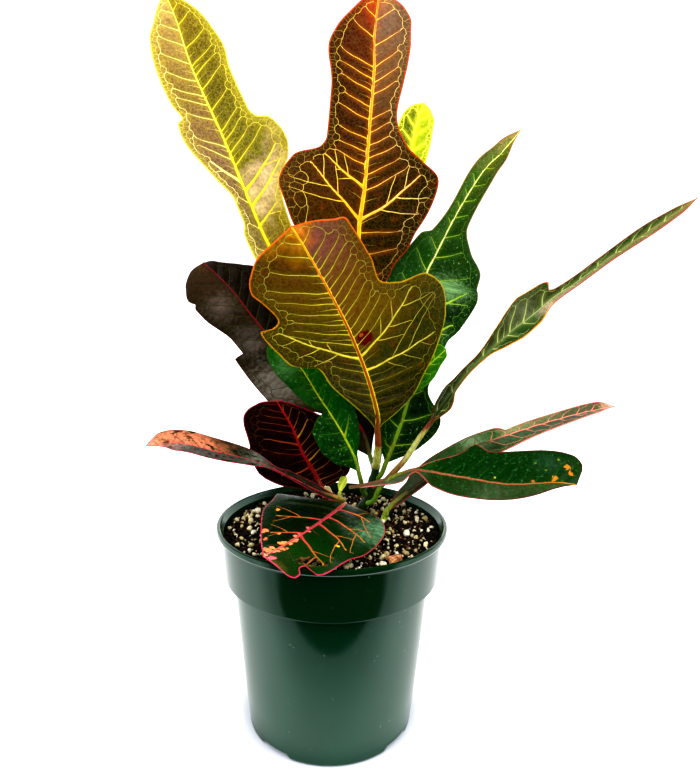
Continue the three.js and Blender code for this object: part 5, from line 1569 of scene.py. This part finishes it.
def lathe(profile, sides):
    """Points and faces of a closed solid of revolution; the profile starts and ends on the axis."""
    turn = np.linspace(0, FULL_TURN, sides, endpoint=False)
    points, faces = [(0.0, 0.0, profile[0][1])], []
    for radius, z in profile[1:-1]:
        points += [(radius * math.cos(t), radius * math.sin(t), z) for t in turn]
    points.append((0.0, 0.0, profile[-1][1]))
    last = len(points) - 1
    top = len(profile) - 3

    def ring(level, side):
        return 1 + level * sides + side % sides

    for side in range(sides):
        faces.append([0, ring(0, side + 1), ring(0, side)])
        for level in range(top):
            faces.append([ring(level, side), ring(level, side + 1),
                          ring(level + 1, side + 1), ring(level + 1, side)])
        faces.append([last, ring(top, side), ring(top, side + 1)])
    return np.array(points), faces


def add_prism(points, faces, first, second):
    """Adds a closed prism between two ends with the same number of corners."""
    start, count = len(points), len(first)
    points += first + second
    faces.append([start + i for i in reversed(range(count))])
    faces.append([start + count + i for i in range(count)])
    faces += [[start + i, start + (i + 1) % count, start + count + (i + 1) % count, start + count + i]
              for i in range(count)]


def notch_blocks(margin):
    """The wedge-sided blocks that cut the drain notches, grown by a margin."""
    foot, top = (width / 2 + margin for width in NOTCH_WIDTHS)
    height = NOTCH_HEIGHT + margin
    section = [(-foot, -CUT_DEPTH), (foot, -CUT_DEPTH), (foot, 0), (top, height), (-top, height), (-foot, 0)]
    points, faces = [], []
    for angle in NOTCH_ANGLES:
        c, s = math.cos(math.radians(angle)), math.sin(math.radians(angle))
        ends = [[(radius * c - across * s, radius * s + across * c, z) for across, z in section]
                for radius in (NOTCH_RADII[0] - margin, NOTCH_RADII[1])]
        add_prism(points, faces, *ends)
    return points, faces


def drain_holes():
    points, faces = [], []
    place, radius = DRAIN_HOLE
    for angle in NOTCH_ANGLES:
        c, s = math.cos(math.radians(angle)), math.sin(math.radians(angle))
        ends = [[(place * c + radius * math.cos(turn), place * s + radius * math.sin(turn), z)
                 for turn in turns(HOLE_SIDES)] for z in HOLE_ENDS]
        add_prism(points, faces, *ends)
    return points, faces


def cut(thing, tool):
    """Cuts a tool out of a solid and removes the tool."""
    modifier = thing.modifiers.new("cut", "BOOLEAN")
    modifier.operation, modifier.solver, modifier.object = "DIFFERENCE", "EXACT", tool
    evaluated = thing.evaluated_get(bpy.context.evaluated_depsgraph_get())
    result = bpy.data.meshes.new_from_object(evaluated)
    thing.modifiers.clear()
    thing.data = result
    bpy.data.objects.remove(tool, do_unlink=True)


def pot_material():
    shader = Shader("pot_plastic", roughness=0.1, specular=0.65)
    shader.surface.inputs["Specular Tint"].default_value = PLASTIC_TINT
    spots = shader.stretched(shader.node("TexCoord", {}, "Object"), 1 / MM, 1 / MM, 1 / MM)
    cloud = shader.noise(spots, scale=0.03, detail=4.0)
    base = shader.mix(shader.fade(cloud, 0.35, 0.65), *[color(code) for code in PLASTIC])
    height = shader.node("SeparateXYZ", {0: spots}, 2)
    # Painted shade: the plastic grows darker from 80 to 105 mm up, over the collar.
    base = shader.mix(shader.fade(height, *COLLAR_SHADE_HEIGHTS), base, color(PAINTED_COLLAR_SHADE))
    dust = shader.fade(shader.cells(spots, 0.32, "F1"), 0.06, 0.15, 1.0, 0.0)
    chosen = shader.fade(shader.noise(spots, scale=0.1, detail=3.0), 0.55, 0.66)
    base = shader.cover(base, shader.math("MULTIPLY", dust, chosen), (DUST, DUST_AMOUNT))
    scuffs = shader.noise(shader.stretched(spots, 0.25, 0.25, 2.0), scale=1.0, detail=2.0)
    worn = shader.math("MULTIPLY", scuffs, 0.05)
    shader.bump(shader.math("ADD", shader.noise(spots, scale=0.05, detail=2.0), worn), 0.03)
    return shader.finish(base, shader.fade(cloud, 0.3, 0.7, 0.1, 0.17))


def build_pot():
    above = POT_HEIGHT + CAVITY_RISE
    inside = [*held(POT_INSIDE[::-1]), (POT_INSIDE[0][0], above), (0, above)]
    cavity = plain_object("cavity", *lathe(inside, POT_SIDES))
    cut(cavity, plain_object("housings", *notch_blocks(WALL)))
    pot = plain_object("pot_fine", *lathe([*held(POT_OUTSIDE), (0, POT_HEIGHT)], POT_SIDES))
    cut(pot, cavity)
    cut(pot, plain_object("notches", *notch_blocks(0)))
    cut(pot, plain_object("holes", *drain_holes()))
    pot.data.materials.clear()
    pot.data.materials.append(pot_material())
    pot.data.polygons.foreach_set("use_smooth", [True] * len(pot.data.polygons))
    pot.data.set_sharp_from_angle(angle=math.radians(SHARP_ANGLE))
    finish_piece(pot, "pot_plastic", "pot")


# Soil

SOIL_LEVEL = 124.5
SOIL_LUMP = 1.1
# Each wave has its share of the lump, its pace along x and along y, and its shift
SOIL_WAVES = [(0.5, 0.11, -0.05, 0.6), (0.3, 0.31, -0.19, 1.1), (0.2, 0.07, 0.37, 1.6)]
SOIL_RADIUS = 65.1
GRAIN_COUNT = 56
GRAIN_SIZES = (1.3, 2.4)
GRAIN_FIELD_RADIUS = 61
GRAIN_SEED = 20
BARK_PLACE = (34, -48)
BARK_SIZE = (9, 5.5, 5)
# Where each stem stands and how far the soil around it stays clear
STEM_FEET = [(17, 21, 4.2), (1.6, 24, 3.6), (32.5, 12.5, 3.6)]
SOIL_PROFILE = [(0, 2.5), (47.9, 2.5), (50.1, 7.1), (57.9, 93.9), (58.3, 98.6), (62.8, 99.5), (63.2, 100.2),
                (SOIL_RADIUS, SOIL_LEVEL - 1)]
SOIL_RINGS = 56
SOIL_SIDES = 150
SOIL_SEED = 7
ROUGH_PACE = 0.16
ROUGH_HEIGHT = 1.1
ROUGH_SINK = 0.3

# The rule of random numbers for the grains, as in the CAD source
DRAW_FACTOR = 1664525
DRAW_STEP = 1013904223
DRAW_RANGE = 2 ** 32
DRAWS_PER_GRAIN = 5

# What lies in the soil: how often it is tried, how far from the wall, and its sizes
CRUMB_TRIES = 2300
CRUMB_GAP = 1.2
CRUMB_SIZES = (0.45, 1.5)
CRUMB_RISE = 0.25
CRUMB_FLATNESS = ((0.5, 1), (0.4, 0.8))
FIBRE_TRIES = 420
FIBRE_GAP = 5
FIBRE_END_GAP = 1
FIBRE_LENGTHS = (3, 10)
FIBRE_BEND = 0.25
FIBRE_RISE = (0.3, 0.9)
FIBRE_TILT = 1.2
FIBRE_RADII = (0.12, 0.38)
FIBRE_TAPER = [0.5, 1, 1, 1, 0.8, 0.4]
FIBRE_SIDES = 5
GRAIN_TRIES = 9000
MOST_GRAINS = 640
GRAIN_GAP = 2.5
GRAIN_OVERLAP = 0.86
GRAIN_SWELL = 1.12
GRAIN_RISE = 0.35
GRAIN_CUTS = 5
GRAIN_FLATNESS = ((0.7, 1), (0.65, 0.9))
CUT_PLACES = (0.55, 0.85)
LEAST_GRAIN = 0.45
GRAIN_SPREAD = 1.6
GRAIN_POWER = 2.2
LUMPS = 0.55
CRUMB_LUMPS = 0.5
BARK_LUMP_PACE = 1.1
BARK_GAP = 5.5
BARK_RISE = 1.4
BARK_SWELL = 1.05

# How light the soil's pieces are, from 0 to 1
SOIL_GLOW = 0.35
FIBRE_GLOW = (0.55, 1.0)
BARK_GLOW = 0.5


def soil_height(x, y):
    waves = sum(share * math.sin(x * along_x + y * along_y + shift)
                for share, along_x, along_y, shift in SOIL_WAVES)
    return SOIL_LEVEL + SOIL_LUMP * waves


def rough_height(x, y):
    place = Vector((x * ROUGH_PACE, y * ROUGH_PACE, 3.0))
    return soil_height(x, y) - ROUGH_SINK + ROUGH_HEIGHT * noise.fractal(place, 0.8, 2.2, 4)


def cad_grains():
    """The grains that the CAD source sets in the soil, by the same rule: place and radius."""
    state = GRAIN_SEED
    draws = []
    for _ in range(GRAIN_COUNT * DRAWS_PER_GRAIN):
        state = (state * DRAW_FACTOR + DRAW_STEP) % DRAW_RANGE
        draws.append(state / DRAW_RANGE)
    for start in range(0, len(draws), DRAWS_PER_GRAIN):
        away, turn, size = draws[start:start + 3]
        radius = GRAIN_SIZES[0] + (GRAIN_SIZES[1] - GRAIN_SIZES[0]) * size ** 2
        away, turn = GRAIN_FIELD_RADIUS * math.sqrt(away), FULL_TURN * turn
        yield away * math.cos(turn), away * math.sin(turn), radius


def ball(level):
    """Points and faces of an icosphere of radius 1."""
    mesh = bpy.data.meshes.new("ball")
    work = bmesh.new()
    bmesh.ops.create_icosphere(work, subdivisions=level, radius=1)
    work.to_mesh(mesh)
    work.free()
    points = np.array([vertex.co for vertex in mesh.vertices])
    faces = [list(face.vertices) for face in mesh.polygons]
    bpy.data.meshes.remove(mesh)
    return points, faces


def lumpy(points, rng, amount, frequency=1.3):
    """Moves the points of a ball in and out by smooth noise."""
    shift = Vector([rng.uniform(0, 90) for _ in range(3)])
    return np.array([p * (1 + amount * noise.noise(Vector(p) * frequency + shift)) for p in points])


def chipped(points, rng, cuts):
    """Flattens a grain on a few sides."""
    for _ in range(cuts):
        facing = unit(np.array([rng.gauss(0, 1) for _ in range(3)]))
        over = np.maximum(points @ facing - rng.uniform(*CUT_PLACES), 0)
        points = points - over[:, None] * facing
    return points


def turned(points, rng):
    spin = Euler([rng.uniform(0, FULL_TURN) for _ in range(3)]).to_matrix()
    return points @ np.array(spin)


def flattened(rng, ranges):
    """Random scales along x, y and z that make a ball flatter."""
    return np.array([1, *[rng.uniform(*pair) for pair in ranges]])


def random_place(rng, gap):
    """A random place on the soil, at least this far from the wall of the pot."""
    away, turn = (SOIL_RADIUS - gap) * math.sqrt(rng.random()), rng.uniform(0, FULL_TURN)
    return away * math.cos(turn), away * math.sin(turn)


def clear_of_stems(x, y):
    return all(math.hypot(x - sx, y - sy) > radius for sx, sy, radius in STEM_FEET)


def add_crumbs(parts, rng):
    crumb, faces = ball(1)
    for _ in range(CRUMB_TRIES):
        x, y = random_place(rng, CRUMB_GAP)
        if not clear_of_stems(x, y):
            continue
        size = rng.uniform(*CRUMB_SIZES) * flattened(rng, CRUMB_FLATNESS)
        place = (x, y, rough_height(x, y) + CRUMB_RISE)
        shape = turned(lumpy(crumb, rng, CRUMB_LUMPS) * size, rng)
        parts.add(shape + place, faces, glow=rng.random())


def add_fibres(parts, rng):
    step = np.linspace(-0.5, 0.5, len(FIBRE_TAPER))
    bow = 0.25 - step ** 2
    for _ in range(FIBRE_TRIES):
        x, y = random_place(rng, FIBRE_GAP)
        length, heading = rng.uniform(*FIBRE_LENGTHS), rng.uniform(0, FULL_TURN)
        bend = rng.uniform(-FIBRE_BEND, FIBRE_BEND) * length
        xs = x + length * step * math.cos(heading) - bend * bow * math.sin(heading)
        ys = y + length * step * math.sin(heading) + bend * bow * math.cos(heading)
        spots = list(zip(xs, ys))
        inside = SOIL_RADIUS - FIBRE_END_GAP
        if not all(clear_of_stems(*spot) and math.hypot(*spot) <= inside for spot in spots):
            continue
        rise = rng.uniform(*FIBRE_RISE) + step * rng.uniform(-FIBRE_TILT, FIBRE_TILT)
        path = np.column_stack([xs, ys, [rough_height(*spot) for spot in spots] + rise])
        points, faces = tube(path, rng.uniform(*FIBRE_RADII) * np.array(FIBRE_TAPER), FIBRE_SIDES)
        parts.add(points, faces, glow=rng.uniform(*FIBRE_GLOW))


def build_soil(rng):
    top = [(SOIL_RADIUS * (1 - i / SOIL_RINGS), SOIL_LEVEL) for i in range(SOIL_RINGS)]
    points, faces = lathe([*SOIL_PROFILE, *top, (0, SOIL_LEVEL)], SOIL_SIDES)
    for point in points:
        if point[2] == SOIL_LEVEL:
            point[2] = rough_height(point[0], point[1])
    parts = Parts()
    parts.add(points, faces, glow=SOIL_GLOW)
    add_crumbs(parts, rng)
    add_fibres(parts, rng)
    finish_piece(parts.make("soil_fine", [soil_material()]), "soil", "soil")


def build_perlite(rng):
    parts = Parts()
    grain, faces = ball(2)
    grains = list(cad_grains())
    for _ in range(GRAIN_TRIES):
        x, y = random_place(rng, GRAIN_GAP)
        radius = LEAST_GRAIN + GRAIN_SPREAD * rng.random() ** GRAIN_POWER
        apart = all(math.hypot(x - a, y - b) > GRAIN_OVERLAP * (radius + r) for a, b, r in grains)
        if apart and math.hypot(x - BARK_PLACE[0], y - BARK_PLACE[1]) > BARK_GAP:
            grains.append((x, y, radius))
        if len(grains) > MOST_GRAINS:
            break
    for x, y, radius in grains:
        if not clear_of_stems(x, y):
            continue
        flat = flattened(rng, GRAIN_FLATNESS)
        shape = chipped(lumpy(grain, rng, LUMPS), rng, GRAIN_CUTS) * (radius * GRAIN_SWELL) * flat
        place = (x, y, soil_height(x, y) + GRAIN_RISE * radius)
        parts.add(turned(shape, rng) + place, faces, glow=rng.random())
    finish_piece(parts.make("perlite", [perlite_material()]), "soil")


def build_bark(rng):
    parts = Parts()
    chip, faces = ball(3)
    shape = lumpy(chip, rng, LUMPS, BARK_LUMP_PACE) * (np.array(BARK_SIZE) / 2) * BARK_SWELL
    parts.add(shape + (*BARK_PLACE, soil_height(*BARK_PLACE) + BARK_RISE), faces, glow=BARK_GLOW)
    finish_piece(parts.make("bark_chip", [bark_material()]), "soil")


def soil_material():
    shader = Shader("soil_peat", roughness=0.9, specular=0.25)
    place = shader.place()
    stops = [(0, "#050302"), (0.4, "#0e0804"), (0.65, "#20120a"), (0.8, "#402a18"), (0.93, "#6e4c2c"),
             (1, "#94703f")]
    base = shader.ramp(shader.value("glow"), stops)
    dark = shader.fade(shader.noise(place, scale=0.5, detail=4.0), 0.35, 0.7)
    base = shader.mix(dark, base, color("#080402"))
    shader.bump(shader.noise(place, scale=1.6, detail=4.0, roughness=0.7), 0.7)
    return shader.finish(base)


def perlite_material():
    shader = Shader("perlite_grain", roughness=0.75, specular=0.35)
    place = shader.place()
    stops = [(0, "#94855c"), (0.3, "#b0a478"), (0.7, "#c8be98"), (1, "#e0dac4")]
    base = shader.ramp(shader.value("glow"), stops)
    dirt = shader.fade(shader.noise(place, scale=0.7, detail=4.0, roughness=0.65), 0.5, 0.72, 0.0, 0.75)
    base = shader.mix(dirt, base, color("#7c6a48"))
    pits = shader.cells(place, 1.4, "F1")
    base = shader.mix(shader.fade(pits, 0.0, 0.25, 0.35, 0.0), base, color("#8c7c58"))
    shader.bump(shader.math("ADD", pits, shader.noise(place, scale=2.2, detail=3.0)), 0.5)
    return shader.finish(base)


def bark_material():
    shader = Shader("bark", roughness=0.7, specular=0.3)
    place = shader.place()
    grain = shader.noise(shader.stretched(place, 0.35, 1.4, 1.4), scale=1.0, detail=4.0, roughness=0.6)
    base = shader.ramp(grain, [(0.3, "#4c2c14"), (0.5, "#94603c"), (0.65, "#c49c70"), (0.8, "#dcc8a8")])
    shader.bump(grain, 0.5)
    return shader.finish(base)


# Floor, light and camera

FLOOR_FRONT = -138
FLOOR_REACH = 3000
FLOOR_WHITES = ("#fdfdfe", "#fafafc")
FRONT_GRAY = "#b4b6ba"
FRONT_START = -60
# A painted shadow on the floor, from 48 to 68 mm out from the middle of the pot
POT_SHADE = "#c4c8d0"
POT_SHADE_REACH = (48, 68)
WORLD_LIGHT = 1.5
WORLD_DARK = 0.02
DARK_FRONT = (-0.35, -0.6)
DARK_CEILING = (0.45, 0.7)
LAMP_TARGET = (0, 0, 0.2)
CAMERA_PLACE = (0.0, -381.2, 283.0)
CAMERA_PITCH = 10.23
CAMERA_YAW = 1.43
CAMERA_ROLL = 0.89
FOCAL_PIXELS = 653.5
PHOTO_HEIGHT = 769
SENSOR = 36.0

# Name, kind, place in metres, size (an angle in degrees for a sun), power, and whether gloss shows it
LAMPS = [
    ("soft_top", "SUN", (0.1, -0.5, 1.2), 70, 3.2, False),
    ("soft_front", "SUN", (-0.2, -1.0, 0.5), 60, 0.9, False),
    ("soft_left", "SUN", (-1.2, -0.3, 0.6), 60, 0.9, False),
    ("soft_right", "SUN", (1.2, -0.3, 0.6), 60, 0.9, False),
    ("panel_left", "AREA", (-0.9, -0.6, 1.0), (0.5, 0.7), 2.5, True),
    ("panel_right", "AREA", (0.9, -0.6, 0.9), (0.5, 0.7), 2.5, True),
]


def build_stage():
    """A white floor that is grayer in front, with a painted shadow around the pot's foot."""
    corners = [(-FLOOR_REACH, FLOOR_FRONT, 0), (FLOOR_REACH, FLOOR_FRONT, 0),
               (FLOOR_REACH, FLOOR_REACH, 0), (-FLOOR_REACH, FLOOR_REACH, 0)]
    floor = plain_object("floor", corners, [[0, 1, 2, 3]])
    shader = Shader("floor_white", roughness=0.5, specular=0.3)
    place = shader.node("TexCoord", {}, "Object")
    base = shader.mix(shader.noise(place, scale=3.0, detail=3.0), *[color(code) for code in FLOOR_WHITES])
    front = shader.fade(shader.node("SeparateXYZ", {0: place}, 1), FRONT_START * MM, FLOOR_FRONT * MM)
    away = shader.node("VectorMath", {0: place}, "Value", operation="LENGTH")
    near, far = (reach * MM for reach in POT_SHADE_REACH)
    base = shader.mix(shader.fade(away, near, far), color(POT_SHADE), base)
    floor.data.materials.append(shader.finish(shader.mix(front, base, color(FRONT_GRAY))))


def add_lamp(name, kind, place, size, power, glossy):
    light = bpy.data.lights.new(name, kind)
    light.energy = power
    if kind == "AREA":
        light.shape, light.size, light.size_y = "RECTANGLE", *size
    else:
        light.angle = math.radians(size)
    lamp = bpy.data.objects.new(name, light)
    lamp.location = place
    lamp.rotation_euler = (Vector(LAMP_TARGET) - Vector(place)).to_track_quat("-Z", "Y").to_euler()
    lamp.visible_glossy = glossy
    bpy.context.scene.collection.objects.link(lamp)


def build_light():
    """White walls at the sides and back. The gloss of the pot and leaves shows a dark room in front."""
    world = bpy.data.worlds.new("studio")
    bpy.context.scene.world = world
    world.use_nodes = True
    tree = world.node_tree
    direction = add_node(tree, "SeparateXYZ", {0: add_node(tree, "TexCoord", {})["Generated"]})
    flat = add_node(tree, "CombineXYZ", {0: direction[0], 1: direction[1]})[0]
    level = add_node(tree, "VectorMath", {0: flat}, operation="LENGTH")["Value"]
    toward = add_node(tree, "Math", {0: direction[1], 1: level}, operation="DIVIDE")[0]
    darkness = [add_node(tree, "MapRange", {"Value": value, "From Min": low, "From Max": high},
                         interpolation_type="SMOOTHSTEP")[0]
                for value, (low, high) in ((toward, DARK_FRONT), (direction[2], DARK_CEILING))]
    dark = add_node(tree, "Math", {0: darkness[0], 1: darkness[1]}, operation="MAXIMUM")[0]
    room = add_node(tree, "MapRange", {"Value": dark, "To Min": WORLD_LIGHT, "To Max": WORLD_DARK})[0]
    seen = add_node(tree, "LightPath", {})["Is Camera Ray"]
    strength = add_node(tree, "Mix", {0: seen, 2: room, 3: 1.0}, data_type="FLOAT")[0]
    background = tree.nodes["Background"]
    put(tree, background.inputs["Strength"], strength)
    put(tree, background.inputs["Color"], (1, 1, 1, 1))
    for lamp in LAMPS:
        add_lamp(*lamp)
    bpy.context.scene.view_settings.view_transform = "Standard"
    bpy.context.scene.view_settings.look = "High Contrast"


def build_camera():
    data = bpy.data.cameras.new("camera")
    data.sensor_width = SENSOR
    data.lens = FOCAL_PIXELS / PHOTO_HEIGHT * SENSOR
    data.clip_start, data.clip_end = 0.01, 50
    camera = bpy.data.objects.new("camera", data)
    camera.location = Vector(CAMERA_PLACE) * MM
    turn = (Euler((0, 0, math.radians(-CAMERA_YAW))).to_matrix()
            @ Euler((math.radians(90 - CAMERA_PITCH), 0, 0)).to_matrix()
            @ Euler((0, 0, math.radians(CAMERA_ROLL))).to_matrix())
    camera.rotation_euler = turn.to_euler()
    bpy.context.scene.collection.objects.link(camera)
    bpy.context.scene.camera = camera


build_camera()
build_light()
build_stage()
build_pot()
soil_rng = random.Random(SOIL_SEED)
build_soil(soil_rng)
build_perlite(soil_rng)
build_bark(soil_rng)
for stem_name in STEMS:
    build_stem(stem_name)
for seed, leaf_name in enumerate(LEAVES):
    build_leaf(leaf_name, seed)
